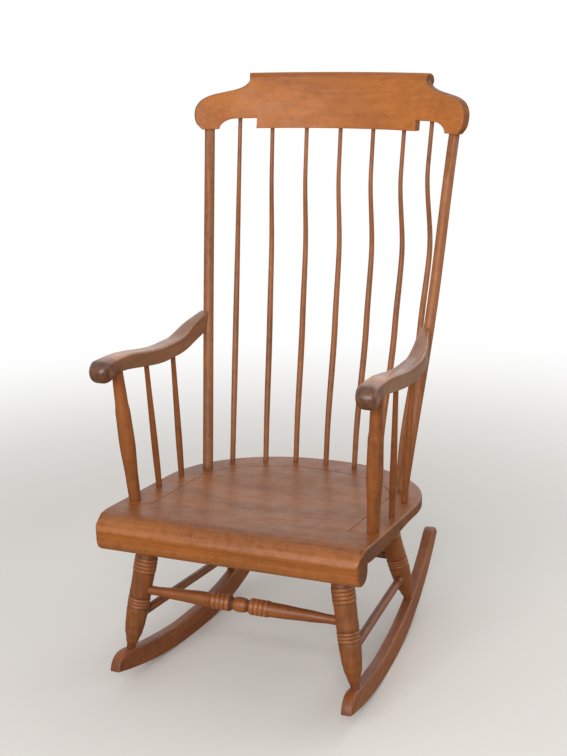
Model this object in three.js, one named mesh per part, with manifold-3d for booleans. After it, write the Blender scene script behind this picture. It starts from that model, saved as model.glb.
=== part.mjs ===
import * as THREE from 'three';
import { mergeVertices } from 'three/addons/utils/BufferGeometryUtils.js';
import Module from 'manifold-3d';

const wasm = await Module();
wasm.setup();

// A rocking chair of turned and bent wood. It faces -Y, the sitter's left is +X and the floor is z = 0.

// Driving dimensions of the seat, in millimetres
const SEAT_WIDTH = 520;
const SEAT_DEPTH = 547;
const SEAT_HEIGHT = 326;
const SEAT_FALL = 38;
const PLANK = 26;
const FRONT_NARROWING = 6;
const CORNER_RADIUS = 14;
const UNDER_BEVEL_RISE = 8;
const UNDER_BEVEL_RUN = 13;
const DISH_DEPTH = 6;
const NOSE_DROP = 69;
const NOSE_THICKNESS = 48;
const NOSE_BROW_RUN = 43;
const NOSE_BROW_DROP = 24;

// Driving dimensions of the back
const CREST_WIDTH = 566;
const CREST_BOTTOM = 992;
const CREST_HEIGHT = 109;
const CREST_THICKNESS = 20;
const CREST_BOW_RADIUS = 500;
const CREST_ROLL_RADIUS = 13.5;
const CREST_ARCH_RISE = 20;
const BACK_RAKE = 103;
const BACK_INSET = 38;
const SPINDLE_RADIUS = 6.25;
const SPINDLE_BEND = 22;
const OUTER_SPINDLE_BEND = 29;
const POST_RADIUS = 10.5;
const POST_BEND = 7;
const POST_FLAT_DEPTH = 3.5;
const POST_FLAT_LENGTH = 84;
const POST_FLAT_RUNOUT = 30;

// Driving dimensions of the arms
const ARM_HEIGHT = 576;
const ARM_RISE = 32;
const ARM_THICKNESS = 28;
const ARM_WIDTH = 37;
const KNUCKLE_RADIUS = 20.5;
const ARM_POST_RADIUS = 15;
const ARM_SPINDLE_RADIUS = 6.5;
const ARM_TENON_RADIUS = 4.5;
const ARM_TENON_LENGTH = 8;

// Driving dimensions of the legs, stretchers and rockers
const LEG_RADIUS = 21;
const RING_GROOVE = 1.5;
const STRETCHER_RADIUS = 15;
const ROD_RADIUS = 8.4;
const ROCKER_RADIUS = 960;
const ROCKER_REAR_RADIUS = 584;
const ROCKER_DEPTH = 47;
const ROCKER_THICKNESS = 21;
const ROCKER_SPACING = 418;
const ROCKER_FLAT = 30;
const ROCKER_FLAT_FORWARD = 9;
const ROCKER_FRONT = 300;
const ROCKER_REAR = 370;
const ROCKER_FRONT_ROUND = 46;
const ROCKER_REAR_ROUND = 30;
const ROCKER_TIP_FACE = 5;

// Joints and cuts
const JOINT_GAP = 0.3;
const END_GAP = 1;
const OVERRUN = 4;
const SEAT_SOCKET = 16;
const CREST_SOCKET = 18;
const POST_TENON_RADIUS = 6.8;
const ARM_SOCKET = 15;
const LEG_TENON_RADIUS = 12;
const FOOT_SOCKET = 17;
const STRETCHER_STOP = 7;
const WELD = 0.0001;

// Facets of round pieces
const LEG_SIDES = 14;
const TURNED_SIDES = 14;
const ROD_SIDES = 10;
const SPINDLE_STEPS = 11;
const BOW_STEPS = 10;
const ROLL_STEPS = 14;
const CURVE_STEPS = 28;
const PLANK_STEPS = 4;
const DISH_STEPS = 4;
const DISH_SIDES = 36;
const ARM_STEPS = 10;
const ARM_SPINDLE_STEPS = 5;
const STATION_STEPS = 6;
const ROCKER_FRONT_STEPS = 7;
const ROCKER_REAR_STEPS = 9;

// Angles and slopes
const CREST_LEAN = THREE.MathUtils.degToRad(12.5);
const ROCKER_TURN = THREE.MathUtils.degToRad(4);
const KNUCKLE_WRAP = THREE.MathUtils.degToRad(325);
const SEAT_SLOPE = SEAT_FALL / SEAT_DEPTH;
const SEAT_TILT = Math.atan(SEAT_SLOPE);

// Places across the chair, as shares of half the seat's or the crest's width
const HALF_SEAT = SEAT_WIDTH / 2;
const HALF_CREST = CREST_WIDTH / 2;
const SPINDLE_FOOT_SHARES = [0, 0.249, 0.478, 0.695];
const SPINDLE_TOP_SHARES = [0, 0.252, 0.496, 0.718];
const POST_FOOT_SHARE = 0.804;
const POST_TOP_SHARE = 0.908;
const ARM_POST_FOOT_SHARE = 0.913;
const KNUCKLE_SHARE = 0.977;
const FRONT_LEG_SHARE = 0.705;
const REAR_LEG_SHARE = 0.577;

// Places along the chair, as shares of the seat's depth from its front edge
const REST_SHARE = 0.55;
const SHOULDER_SHARE = 0.1;
const CURVE_SHARES = { edge: 0.543, feet: 0.592 };
const POST_FOOT_PLACE_SHARE = 0.694;
const FRONT_LEG_PLACE_SHARE = 0.167;
const REAR_LEG_PLACE_SHARE = 0.749;
const FRONT_FOOT_PLACE_SHARE = 0.109;
const REAR_FOOT_PLACE_SHARE = 0.825;
const KNUCKLE_PLACE_SHARE = 0.094;
const ARM_POST_PLACE_SHARES = { foot: 0.227, top: 0.193 };
const ARM_SPINDLE_PLACE_SHARES = [
  { foot: 0.409, top: 0.39, across: 0.919 },
  { foot: 0.568, top: 0.583, across: 0.902 },
];
const DISH_PLACE_SHARE = 0.44;
const DISH_WIDTH_SHARE = 0.725;
const DISH_LENGTH_SHARE = 0.39;
const SQUARENESS = { edge: 2.12, feet: 2.15 };

// Outlines and profiles: pairs of a share of the length or height and a share of the bend or radius there
const SPINDLE_PROFILE_SHARES = [[0, 0.88], [0.3, 1], [1, 0.66]];
const SPINDLE_BEND_SHARES = [[0, 0], [0.08, 0], [0.43, 0.78], [0.63, 1], [0.88, 0], [1, 0]];
const POST_PROFILE_SHARES = [[0, 1], [1, 0.98]];
const POST_BEND_SHARES = [[0, 0], [0.5, 1], [1, 0]];
const ARM_DIP_SHARES = [[0, 0.64], [0.08, 0.64], [0.55, 0], [0.66, 0], [1.08, 0.72]];
const ARM_DEPTH_SHARES = [[0, 1], [0.66, 1], [0.9, 1.26], [1, 1.3]];
const ARM_BREADTH_SHARES = [[0, 1], [0.42, 0.93], [0.7, 0.82], [1, 0.43]];
const ARM_STRAIGHT_SHARE = 0.69;
const ARM_POST_PROFILE_SHARES = [[0, 0.75], [0.16, 0.8], [0.45, 1], [0.67, 0.94], [0.76, 0.8], [1, 0.7]];
const ARM_SPINDLE_PROFILE_SHARES = [[0, 0.9], [0.25, 1], [1, 0.74]];
const LEG_FOOT_SHARES = [[0, 0.4], [0.02, 0.4], [0.07, 0.57], [0.14, 0.8], [0.21, 0.9], [0.32, 0.98]];
const LEG_LOWER_RING_SHARES = { start: 0.335, end: 0.41, count: 3, reach: 1 };
const LEG_WAIST_SHARES = [[0.43, 0.98], [0.5, 0.96], [0.6, 0.98]];
const LEG_UPPER_RING_SHARES = { start: 0.612, end: 0.725, count: 4, reach: 1.04 };
const LEG_TOP_SHARES = [[0.75, 0.95], [0.9, 0.9], [1, 0.85]];
const LEG_FRONT_STRETCHER_SHARE = 0.471;
const LEG_FRONT_ROD_SHARE = 0.25;
const LEG_REAR_ROD_SHARE = 0.22;
const LEG_BACK_ROD_SHARE = 0.42;
const STRETCHER_END_SHARES = [[0, 0.57], [0.13, 0.57], [0.35, 0.72], [0.62, 0.82], [0.7, 0.84]];
const STRETCHER_RING_SHARES = { start: 0.715, end: 0.9, count: 4, reach: 0.98 };
const STRETCHER_BALL_SHARES = [[0.915, 0.72], [0.935, 0.72], [0.955, 0.95], [0.98, 1.03]];
const CREST_ARCH_SHARES = { start: 0.605, end: 0.745, foot: 0.85 };
const EAR_SHARES = [
  [0.95, 0], [0.985, 0.14], [1, 0.33], [0.993, 0.39], [0.95, 0.558], [0.883, 0.634],
  [0.75, 0.696], [0.706, 0.75], [0.68, 0.81], [0.668, 0.876],
];
const ROLL_END_SHARE = 0.67;
const RING_MIDDLE_SHARE = 0.5;
const FOOT_TAPER_SHARE = 0.6;
const ROCKER_DEPTH_SHARES = [[0, 0.8], [0.3, 0.87], [0.6, 1], [0.72, 1], [1, 0.9]];

const UP = new THREE.Vector3(0, 0, 1);
const SEAT_FRONT = alongSeat(0);

const WOOD = {
  plank: { color: '#96704f', roughness: 0.42 },
  crest: { color: '#b97a48', roughness: 0.4 },
  turned: { color: '#96603f', roughness: 0.45 },
  rocker: { color: '#7d4526', roughness: 0.5 },
};

function alongSeat(share) {
  return SEAT_DEPTH * (share - REST_SHARE);
}

function deckHeight(y) {
  return SEAT_HEIGHT - SEAT_SLOPE * y;
}

// A value at a share, eased from each [share, value] knot to the next.
function eased(knots, share) {
  let index = 0;
  while (index < knots.length - 2 && share > knots[index + 1][0]) index += 1;
  const [start, from] = knots[index];
  const [end, to] = knots[index + 1];
  return THREE.MathUtils.lerp(from, to, THREE.MathUtils.smoothstep(share, start, end));
}

// A closed geometry as a solid, its shared vertices joined.
function solid(geometry) {
  const bare = geometry.clone();
  bare.deleteAttribute('normal');
  bare.deleteAttribute('uv');
  const merged = mergeVertices(bare, WELD);
  const mesh = new wasm.Mesh({
    numProp: 3,
    vertProperties: new Float32Array(merged.attributes.position.array),
    triVerts: new Uint32Array(merged.index.array),
  });
  mesh.merge();
  return new wasm.Manifold(mesh);
}

function toGeometry(body) {
  const mesh = body.getMesh();
  const geometry = new THREE.BufferGeometry();
  geometry.setAttribute('position', new THREE.BufferAttribute(mesh.vertProperties, 3));
  geometry.setIndex(new THREE.BufferAttribute(mesh.triVerts, 1));
  geometry.computeVertexNormals();
  return geometry;
}

// A turned piece along +Z from its [height, radius] pairs.
function turned(profile, sides) {
  const points = profile.map(([height, radius]) => new THREE.Vector2(radius, height));
  points.unshift(new THREE.Vector2(0, points[0].y));
  points.push(new THREE.Vector2(0, points[points.length - 1].y));
  return new THREE.LatheGeometry(points, sides).rotateX(Math.PI / 2);
}

// Stands a geometry made along +Z on a base point, pointing at a top point.
function stand(geometry, base, top) {
  const direction = top.clone().sub(base).normalize();
  const turn = new THREE.Quaternion().setFromUnitVectors(UP, direction);
  return geometry.applyQuaternion(turn).translate(base.x, base.y, base.z);
}

// The point on a line a distance past its second point.
function past(from, to, distance) {
  return to.clone().add(to.clone().sub(from).setLength(distance));
}

function bar(from, to, radius, sides) {
  const length = from.distanceTo(to);
  return solid(stand(turned([[0, radius], [length, radius]], sides), from, to));
}

// The holes for the tenons past the base and past the top of a stick, each open at its mouth.
function lowerSocket({ base, top, lowRadius, lowTaper = 1, sides }, depth) {
  const start = past(top, base, depth + END_GAP);
  const mouth = lowRadius + JOINT_GAP;
  const bottom = lowRadius * lowTaper + JOINT_GAP;
  const length = depth + END_GAP;
  const hole = [[0, bottom], [length, mouth], [length + OVERRUN, mouth]];
  return solid(stand(turned(hole, sides), start, base));
}

function upperSocket({ base, top, highRadius, sides }, depth) {
  return bar(past(base, top, -OVERRUN), past(base, top, depth + END_GAP), highRadius + JOINT_GAP, sides);
}

// Extrusions of a drawn shape, seen from the side, from the front and from above.
function extruded(shape, depth, curveSegments) {
  return new THREE.ExtrudeGeometry(shape, { depth, bevelEnabled: false, curveSegments });
}

function sideExtrusion(shape, width, curveSegments) {
  const turn = new THREE.Matrix4().makeBasis(
    new THREE.Vector3(0, 1, 0),
    new THREE.Vector3(0, 0, 1),
    new THREE.Vector3(1, 0, 0),
  );
  return extruded(shape, width, curveSegments).translate(0, 0, -width / 2).applyMatrix4(turn);
}

function frontExtrusion(shape, front, back, curveSegments) {
  return extruded(shape, back - front, curveSegments).rotateX(Math.PI / 2).translate(0, back, 0);
}

function planExtrusion(shape, bottom, top, curveSegments) {
  return extruded(shape, top - bottom, curveSegments).translate(0, 0, bottom);
}

// Lays a geometry made about the plane z = 0 onto the sloping top of the seat.
function onDeck(geometry) {
  return geometry.rotateX(-SEAT_TILT).translate(0, 0, SEAT_HEIGHT);
}

// The half ellipse, squared a little, of the seat's back edge or of the feet of the back inside it.
function backCurve(x, line, inset) {
  const start = alongSeat(CURVE_SHARES[line]);
  const across = Math.min(1, Math.abs(x) / (HALF_SEAT - inset));
  const power = SQUARENESS[line];
  return start + (alongSeat(1) - start - inset) * (1 - across ** power) ** (1 / power);
}

function deckPoint(x, y) {
  return new THREE.Vector3(x, y, deckHeight(y));
}

// A point of the crest's bowed and leaning middle surface, at a place across and a height.
function crestPoint(x, z) {
  const bow = Math.sqrt(CREST_BOW_RADIUS ** 2 - x ** 2) - CREST_BOW_RADIUS;
  const climb = (z - CREST_BOTTOM + bow * Math.sin(CREST_LEAN)) / Math.cos(CREST_LEAN);
  const y = backCurve(0, 'feet', BACK_INSET) + BACK_RAKE + bow * Math.cos(CREST_LEAN) + climb * Math.sin(CREST_LEAN);
  return new THREE.Vector3(x, y, z);
}

// The way out of the back at a place on the crest, level with the floor.
function outward(x) {
  return new THREE.Vector3(x, Math.sqrt(CREST_BOW_RADIUS ** 2 - x ** 2), 0).normalize();
}

function makeBackSpindles() {
  const spindles = [];
  const last = SPINDLE_FOOT_SHARES.length - 1;
  for (let place = -last; place <= last; place += 1) {
    const side = Math.sign(place);
    const footX = side * SPINDLE_FOOT_SHARES[Math.abs(place)] * HALF_SEAT;
    const topShare = SPINDLE_TOP_SHARES[Math.abs(place)];
    const topX = side * topShare * HALF_CREST;
    const inArch = topShare > CREST_ARCH_SHARES.start;
    const topZ = inArch ? CREST_BOTTOM + CREST_ARCH_RISE : CREST_BOTTOM;
    spindles.push({
      name: `back_spindle_${place + last + 1}`,
      base: deckPoint(footX, backCurve(footX, 'feet', BACK_INSET)),
      top: crestPoint(topX, topZ),
      lowRadius: SPINDLE_RADIUS * SPINDLE_PROFILE_SHARES[0][1],
      highRadius: SPINDLE_RADIUS * SPINDLE_PROFILE_SHARES.at(-1)[1],
      sides: ROD_SIDES,
      bend: THREE.MathUtils.lerp(SPINDLE_BEND, OUTER_SPINDLE_BEND, (place / last) ** 2),
    });
  }
  return spindles;
}

function makePost(side) {
  return {
    base: deckPoint(side * POST_FOOT_SHARE * HALF_SEAT, alongSeat(POST_FOOT_PLACE_SHARE)),
    top: crestPoint(side * POST_TOP_SHARE * HALF_CREST, CREST_BOTTOM),
    lowRadius: POST_RADIUS,
    highRadius: POST_TENON_RADIUS,
    sides: TURNED_SIDES,
  };
}

// The middle of a post at a height: its bend and the lean of its chord together.
function postPoint(side, z) {
  const { base, top } = makePost(side);
  const share = (z - base.z) / (top.z - base.z);
  const point = base.clone().lerp(top, share);
  return point.addScaledVector(outward(top.x), POST_BEND * eased(POST_BEND_SHARES, share));
}

const KNUCKLE_Y = alongSeat(KNUCKLE_PLACE_SHARE);
const ARM_END = postPoint(1, ARM_HEIGHT + ARM_RISE);

function armShare(y) {
  return (y - KNUCKLE_Y) / (ARM_END.y - KNUCKLE_Y);
}

// The arm's middle line seen from above: nearly straight, then bending in to the post.
function armCentre(share) {
  const run = ARM_STRAIGHT_SHARE * share + (1 - ARM_STRAIGHT_SHARE) * share ** 4;
  return THREE.MathUtils.lerp(KNUCKLE_SHARE * HALF_SEAT, ARM_END.x, run);
}

function armUnderside(share) {
  return ARM_HEIGHT + ARM_RISE * eased(ARM_DIP_SHARES, share);
}

function underArm(side, placeShare) {
  const y = alongSeat(placeShare);
  const share = armShare(y);
  return new THREE.Vector3(side * armCentre(share), y, armUnderside(share));
}

function makeArmPost(side) {
  return {
    base: deckPoint(side * ARM_POST_FOOT_SHARE * HALF_SEAT, alongSeat(ARM_POST_PLACE_SHARES.foot)),
    top: underArm(side, ARM_POST_PLACE_SHARES.top),
    lowRadius: ARM_POST_RADIUS * ARM_POST_PROFILE_SHARES[0][1],
    highRadius: ARM_POST_RADIUS * ARM_POST_PROFILE_SHARES.at(-1)[1],
    sides: TURNED_SIDES,
  };
}

function makeArmSpindle(side, { foot, top, across }) {
  return {
    base: deckPoint(side * across * HALF_SEAT, alongSeat(foot)),
    top: underArm(side, top),
    lowRadius: ARM_SPINDLE_RADIUS * ARM_SPINDLE_PROFILE_SHARES[0][1],
    highRadius: ARM_SPINDLE_RADIUS * ARM_SPINDLE_PROFILE_SHARES.at(-1)[1],
    sides: ROD_SIDES,
  };
}

function rockerX(y) {
  return ROCKER_SPACING / 2 - Math.tan(ROCKER_TURN) * y;
}

// The rocker's two arcs, a flatter one in front and a rounder one behind, with a short flat between them.
const FLAT_START = -ROCKER_FLAT_FORWARD - ROCKER_FLAT / 2;
const FLAT_END = FLAT_START + ROCKER_FLAT;
const FRONT_ARC = { y: FLAT_START, z: ROCKER_RADIUS, radius: ROCKER_RADIUS };
const REAR_ARC = { y: FLAT_END, z: ROCKER_REAR_RADIUS, radius: ROCKER_REAR_RADIUS };

// A point of the rocker's lower edge, and the point of its upper edge square above it.
function rockerStation(y) {
  const arc = y > (FLAT_START + FLAT_END) / 2 ? REAR_ARC : FRONT_ARC;
  const centre = new THREE.Vector2(arc.y, arc.z);
  const lower = new THREE.Vector2(y, arc.z - Math.sqrt(arc.radius ** 2 - (y - arc.y) ** 2));
  const share = (y + ROCKER_FRONT) / (ROCKER_FRONT + ROCKER_REAR);
  const depth = ROCKER_DEPTH * eased(ROCKER_DEPTH_SHARES, share);
  const inward = centre.clone().sub(lower).normalize();
  return { lower, inward, upper: lower.clone().addScaledVector(inward, depth) };
}

// The height of the rocker's upper edge, found at the station whose upper point lies at this place.
function rockerTop(y) {
  let station = y;
  for (let turn = 0; turn < STATION_STEPS; turn += 1) station += y - rockerStation(station).upper.x;
  return rockerStation(station).upper.y;
}

function makeLeg(side, footPlace, topPlace, topShare) {
  const footY = alongSeat(footPlace);
  const topY = alongSeat(topPlace);
  return {
    base: new THREE.Vector3(side * rockerX(footY), footY, rockerTop(footY)),
    top: new THREE.Vector3(side * topShare * HALF_SEAT, topY, deckHeight(topY) - PLANK),
    lowRadius: LEG_RADIUS * LEG_FOOT_SHARES[0][1],
    lowTaper: FOOT_TAPER_SHARE,
    highRadius: LEG_TENON_RADIUS,
    sides: LEG_SIDES,
  };
}

function makeFrontLeg(side) {
  return makeLeg(side, FRONT_FOOT_PLACE_SHARE, FRONT_LEG_PLACE_SHARE, FRONT_LEG_SHARE);
}

function makeRearLeg(side) {
  return makeLeg(side, REAR_FOOT_PLACE_SHARE, REAR_LEG_PLACE_SHARE, REAR_LEG_SHARE);
}

// A rod between two legs, ending a little short of their middle lines.
function makeRod(startLeg, startShare, endLeg, endShare, radius) {
  const start = startLeg.base.clone().lerp(startLeg.top, startShare);
  const end = endLeg.base.clone().lerp(endLeg.top, endShare);
  return {
    base: past(end, start, -STRETCHER_STOP),
    top: past(start, end, -STRETCHER_STOP),
    lowRadius: radius,
    highRadius: radius,
    sides: ROD_SIDES,
  };
}

function makeFrontStretcher() {
  const share = LEG_FRONT_STRETCHER_SHARE;
  const radius = STRETCHER_RADIUS * STRETCHER_END_SHARES[0][1];
  return { ...makeRod(makeFrontLeg(-1), share, makeFrontLeg(1), share, radius), sides: TURNED_SIDES };
}

function makeSideStretcher(side) {
  return makeRod(makeFrontLeg(side), LEG_FRONT_ROD_SHARE, makeRearLeg(side), LEG_REAR_ROD_SHARE, ROD_RADIUS);
}

function makeRearStretcher() {
  return makeRod(makeRearLeg(-1), LEG_BACK_ROD_SHARE, makeRearLeg(1), LEG_BACK_ROD_SHARE, ROD_RADIUS);
}

// The wood that a rod's hole takes out of the legs at its two ends.
function rodSockets(rod) {
  const { base, top, lowRadius, sides } = rod;
  const reach = LEG_RADIUS + OVERRUN;
  const hole = lowRadius + JOINT_GAP;
  const low = bar(past(top, base, END_GAP), past(top, base, -reach), hole, sides);
  return low.add(bar(past(base, top, -reach), past(base, top, END_GAP), hole, sides));
}

function seatOutline() {
  const frontHalf = HALF_SEAT - FRONT_NARROWING;
  const shape = new THREE.Shape();
  shape.moveTo(HALF_SEAT, alongSeat(SHOULDER_SHARE));
  for (let step = 0; step <= CURVE_STEPS; step += 1) {
    const x = HALF_SEAT * Math.cos(Math.PI * step / CURVE_STEPS);
    shape.lineTo(x, backCurve(x, 'edge', 0));
  }
  shape.lineTo(-HALF_SEAT, alongSeat(SHOULDER_SHARE));
  shape.lineTo(-frontHalf, SEAT_FRONT + CORNER_RADIUS);
  shape.quadraticCurveTo(-frontHalf, SEAT_FRONT, -frontHalf + CORNER_RADIUS, SEAT_FRONT);
  shape.lineTo(frontHalf - CORNER_RADIUS, SEAT_FRONT);
  shape.quadraticCurveTo(frontHalf, SEAT_FRONT, frontHalf, SEAT_FRONT + CORNER_RADIUS);
  return shape;
}

function noseOutline() {
  const frontHalf = HALF_SEAT - FRONT_NARROWING;
  const back = SEAT_FRONT + NOSE_THICKNESS + OVERRUN;
  const shape = new THREE.Shape();
  shape.moveTo(frontHalf, back);
  shape.lineTo(-frontHalf, back);
  shape.lineTo(-frontHalf, SEAT_FRONT + CORNER_RADIUS);
  shape.quadraticCurveTo(-frontHalf, SEAT_FRONT, -frontHalf + CORNER_RADIUS, SEAT_FRONT);
  shape.lineTo(frontHalf - CORNER_RADIUS, SEAT_FRONT);
  shape.quadraticCurveTo(frontHalf, SEAT_FRONT, frontHalf, SEAT_FRONT + CORNER_RADIUS);
  return shape;
}

// The seat seen from its side: a plank with a rounded brow and a thick nose hanging at its front.
function seatSection() {
  const noseRadius = NOSE_THICKNESS / 2;
  const noseBack = SEAT_FRONT + NOSE_THICKNESS;
  const noseHeight = deckHeight(SEAT_FRONT) - NOSE_DROP + noseRadius;
  const browY = SEAT_FRONT + NOSE_BROW_RUN;
  const browHeight = deckHeight(browY);
  const rear = alongSeat(1) + OVERRUN;
  const shape = new THREE.Shape();
  shape.moveTo(rear, deckHeight(rear) - PLANK);
  shape.lineTo(rear, deckHeight(rear));
  shape.lineTo(browY, browHeight);
  shape.absellipse(
    browY, browHeight - NOSE_BROW_DROP, NOSE_BROW_RUN, NOSE_BROW_DROP, Math.PI / 2, Math.PI, false, 0,
  );
  shape.absarc(SEAT_FRONT + noseRadius, noseHeight, noseRadius, Math.PI, 2 * Math.PI, false);
  shape.lineTo(noseBack, deckHeight(noseBack) - PLANK);
  return shape;
}

// A board of the seat's outline with a bevel all round its underside: its lowest layer is drawn in.
function bevelledPlank() {
  const plank = new THREE.ExtrudeGeometry(seatOutline(), {
    depth: UNDER_BEVEL_RISE * PLANK_STEPS,
    steps: PLANK_STEPS,
    bevelEnabled: false,
    curveSegments: 3,
  });
  const middle = alongSeat(1 / 2);
  const position = plank.attributes.position;
  for (let index = 0; index < position.count; index += 1) {
    if (position.getZ(index) > UNDER_BEVEL_RISE / 2) continue;
    position.setX(index, position.getX(index) * (1 - UNDER_BEVEL_RUN / HALF_SEAT));
    const fromMiddle = position.getY(index) - middle;
    position.setY(index, middle + fromMiddle * (1 - 2 * UNDER_BEVEL_RUN / SEAT_DEPTH));
  }
  return solid(onDeck(plank.translate(0, 0, -PLANK)));
}

// The shallow bowl that is hollowed out of the seat, as a cutter.
function saddle() {
  const points = [new THREE.Vector2(0, -DISH_DEPTH)];
  for (let step = 1; step <= DISH_STEPS; step += 1) {
    const share = step / DISH_STEPS;
    points.push(new THREE.Vector2(share, -DISH_DEPTH * (1 - share ** 2)));
  }
  points.push(new THREE.Vector2(1, OVERRUN), new THREE.Vector2(0, OVERRUN));
  const bowl = new THREE.LatheGeometry(points, DISH_SIDES).rotateX(Math.PI / 2);
  bowl.scale(HALF_SEAT * DISH_WIDTH_SHARE, SEAT_DEPTH * DISH_LENGTH_SHARE, 1);
  return solid(onDeck(bowl.translate(0, alongSeat(DISH_PLACE_SHARE), 0)));
}

function seat() {
  const nose = solid(planExtrusion(noseOutline(), 0, SEAT_HEIGHT + SEAT_FALL, 3));
  const section = solid(sideExtrusion(seatSection(), SEAT_WIDTH + OVERRUN, 6));
  let body = section.intersect(bevelledPlank().add(nose)).subtract(saddle());
  for (const stick of makeBackSpindles()) body = body.subtract(lowerSocket(stick, SEAT_SOCKET));
  for (const side of [1, -1]) {
    const sticks = [makePost(side), makeArmPost(side)];
    sticks.push(...ARM_SPINDLE_PLACE_SHARES.map((places) => makeArmSpindle(side, places)));
    for (const stick of sticks) body = body.subtract(lowerSocket(stick, SEAT_SOCKET));
    for (const leg of [makeFrontLeg(side), makeRearLeg(side)]) {
      body = body.subtract(upperSocket(leg, SEAT_SOCKET));
    }
  }
  return body;
}

// The crest's outline from the front: an arch beside each ear, a round ear and a raised middle.
function crestOutline() {
  const half = new THREE.Path();
  const { start, end, foot } = CREST_ARCH_SHARES;
  half.moveTo(0, 0);
  half.lineTo(start * HALF_CREST, 0);
  half.lineTo(start * HALF_CREST, CREST_ARCH_RISE);
  half.absellipse(
    end * HALF_CREST, 0, (foot - end) * HALF_CREST, CREST_ARCH_RISE, Math.PI / 2, 0, true, 0,
  );
  const ear = EAR_SHARES.map(([across, up]) => new THREE.Vector2(across * HALF_CREST, up * CREST_HEIGHT));
  half.lineTo(ear[0].x, ear[0].y);
  half.splineThru(ear.slice(1));
  half.lineTo(0, CREST_HEIGHT - CREST_ROLL_RADIUS);
  const right = half.getPoints(3);
  const left = right.filter((point) => point.x > 0).map((point) => new THREE.Vector2(-point.x, point.y));
  return new THREE.Shape([...right, ...left.reverse()]);
}

// A board bowed round an upright centre, then leaned back.
function bowedBoard() {
  const spread = Math.asin((HALF_CREST + OVERRUN) / (CREST_BOW_RADIUS - CREST_THICKNESS / 2));
  const shape = new THREE.Shape();
  const start = Math.PI / 2 - spread;
  const end = Math.PI / 2 + spread;
  shape.absarc(0, -CREST_BOW_RADIUS, CREST_BOW_RADIUS + CREST_THICKNESS / 2, start, end, false);
  shape.absarc(0, -CREST_BOW_RADIUS, CREST_BOW_RADIUS - CREST_THICKNESS / 2, end, start, true);
  const board = planExtrusion(shape, -CREST_HEIGHT, CREST_HEIGHT + CREST_HEIGHT, BOW_STEPS);
  const foot = crestPoint(0, CREST_BOTTOM);
  return board.rotateX(-CREST_LEAN).translate(0, foot.y, foot.z);
}

// The path of the roll along the top of the crest, its front flush with the board's.
class RollPath extends THREE.Curve {
  getPoint(share) {
    const x = ROLL_END_SHARE * HALF_CREST * (share + share - 1);
    const point = crestPoint(x, CREST_BOTTOM + CREST_HEIGHT - CREST_ROLL_RADIUS);
    return point.addScaledVector(outward(x), CREST_ROLL_RADIUS - CREST_THICKNESS / 2);
  }
}

function crestRoll() {
  const section = new THREE.Shape();
  section.absarc(0, 0, CREST_ROLL_RADIUS, 0, 2 * Math.PI, false);
  return new THREE.ExtrudeGeometry(section, {
    steps: ROLL_STEPS, extrudePath: new RollPath(), curveSegments: 6, bevelEnabled: false,
  });
}

function crestRail() {
  const foot = crestPoint(0, CREST_BOTTOM);
  const front = frontExtrusion(crestOutline(), foot.y - HALF_CREST, foot.y + HALF_CREST, 3);
  let body = solid(front.translate(0, 0, CREST_BOTTOM)).intersect(solid(bowedBoard()));
  body = body.add(solid(crestRoll()));
  for (const stick of [...makeBackSpindles(), makePost(1), makePost(-1)]) {
    body = body.subtract(upperSocket(stick, CREST_SOCKET));
  }
  return body;
}

// Rings of a slim stick, eased between its radius knots, with a straight tenon past each end.
function slimProfile(length, lowTenon, highTenon, radius, knots, steps) {
  const profile = [[-lowTenon, radius * knots[0][1]]];
  for (let step = 0; step <= steps; step += 1) {
    profile.push([length * step / steps, radius * eased(knots, step / steps)]);
  }
  profile.push([length + highTenon, radius * knots.at(-1)[1]]);
  return profile;
}

// Pushes each ring of a standing stick sideways by its share of the bend.
function bent(geometry, { base, top }, way, depth, knots) {
  const axis = top.clone().sub(base);
  const length = axis.length();
  axis.normalize();
  const position = geometry.attributes.position;
  for (let index = 0; index < position.count; index += 1) {
    const point = new THREE.Vector3().fromBufferAttribute(position, index);
    const share = THREE.MathUtils.clamp(point.clone().sub(base).dot(axis) / length, 0, 1);
    point.addScaledVector(way, depth * eased(knots, share));
    position.setXYZ(index, point.x, point.y, point.z);
  }
  return geometry;
}

function backSpindle(stick) {
  const { base, top } = stick;
  const length = base.distanceTo(top);
  const profile = slimProfile(
    length, SEAT_SOCKET, CREST_SOCKET, SPINDLE_RADIUS, SPINDLE_PROFILE_SHARES, SPINDLE_STEPS,
  );
  const straight = stand(turned(profile, ROD_SIDES), base, top);
  return solid(bent(straight, stick, outward(top.x), stick.bend, SPINDLE_BEND_SHARES));
}

// The cutter that flattens the front of a post under the crest, running out in a curve.
function postFlat(stick) {
  const length = stick.base.distanceTo(stick.top);
  const face = -POST_RADIUS + POST_FLAT_DEPTH;
  const outer = -POST_RADIUS - POST_RADIUS;
  const end = length - POST_FLAT_LENGTH;
  const shape = new THREE.Shape();
  shape.moveTo(outer, end);
  shape.lineTo(-POST_RADIUS, end);
  shape.quadraticCurveTo(face, end, face, end + POST_FLAT_RUNOUT);
  shape.lineTo(face, length + OVERRUN + POST_RADIUS);
  shape.lineTo(outer, length + OVERRUN + POST_RADIUS);
  const cutter = sideExtrusion(shape, POST_RADIUS * 4, 5);
  cutter.rotateZ(-Math.asin(stick.top.x / CREST_BOW_RADIUS));
  return solid(stand(cutter, stick.base, stick.top));
}

// A post's bent round body, made larger by the room that an arm leaves for it.
function postBody(side, room) {
  const stick = makePost(side);
  const { base, top } = stick;
  const profile = slimProfile(
    base.distanceTo(top), SEAT_SOCKET, POST_RADIUS, POST_RADIUS + room, POST_PROFILE_SHARES, SPINDLE_STEPS,
  );
  const straight = stand(turned(profile, TURNED_SIDES), base, top);
  return solid(bent(straight, stick, outward(top.x), POST_BEND, POST_BEND_SHARES));
}

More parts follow.
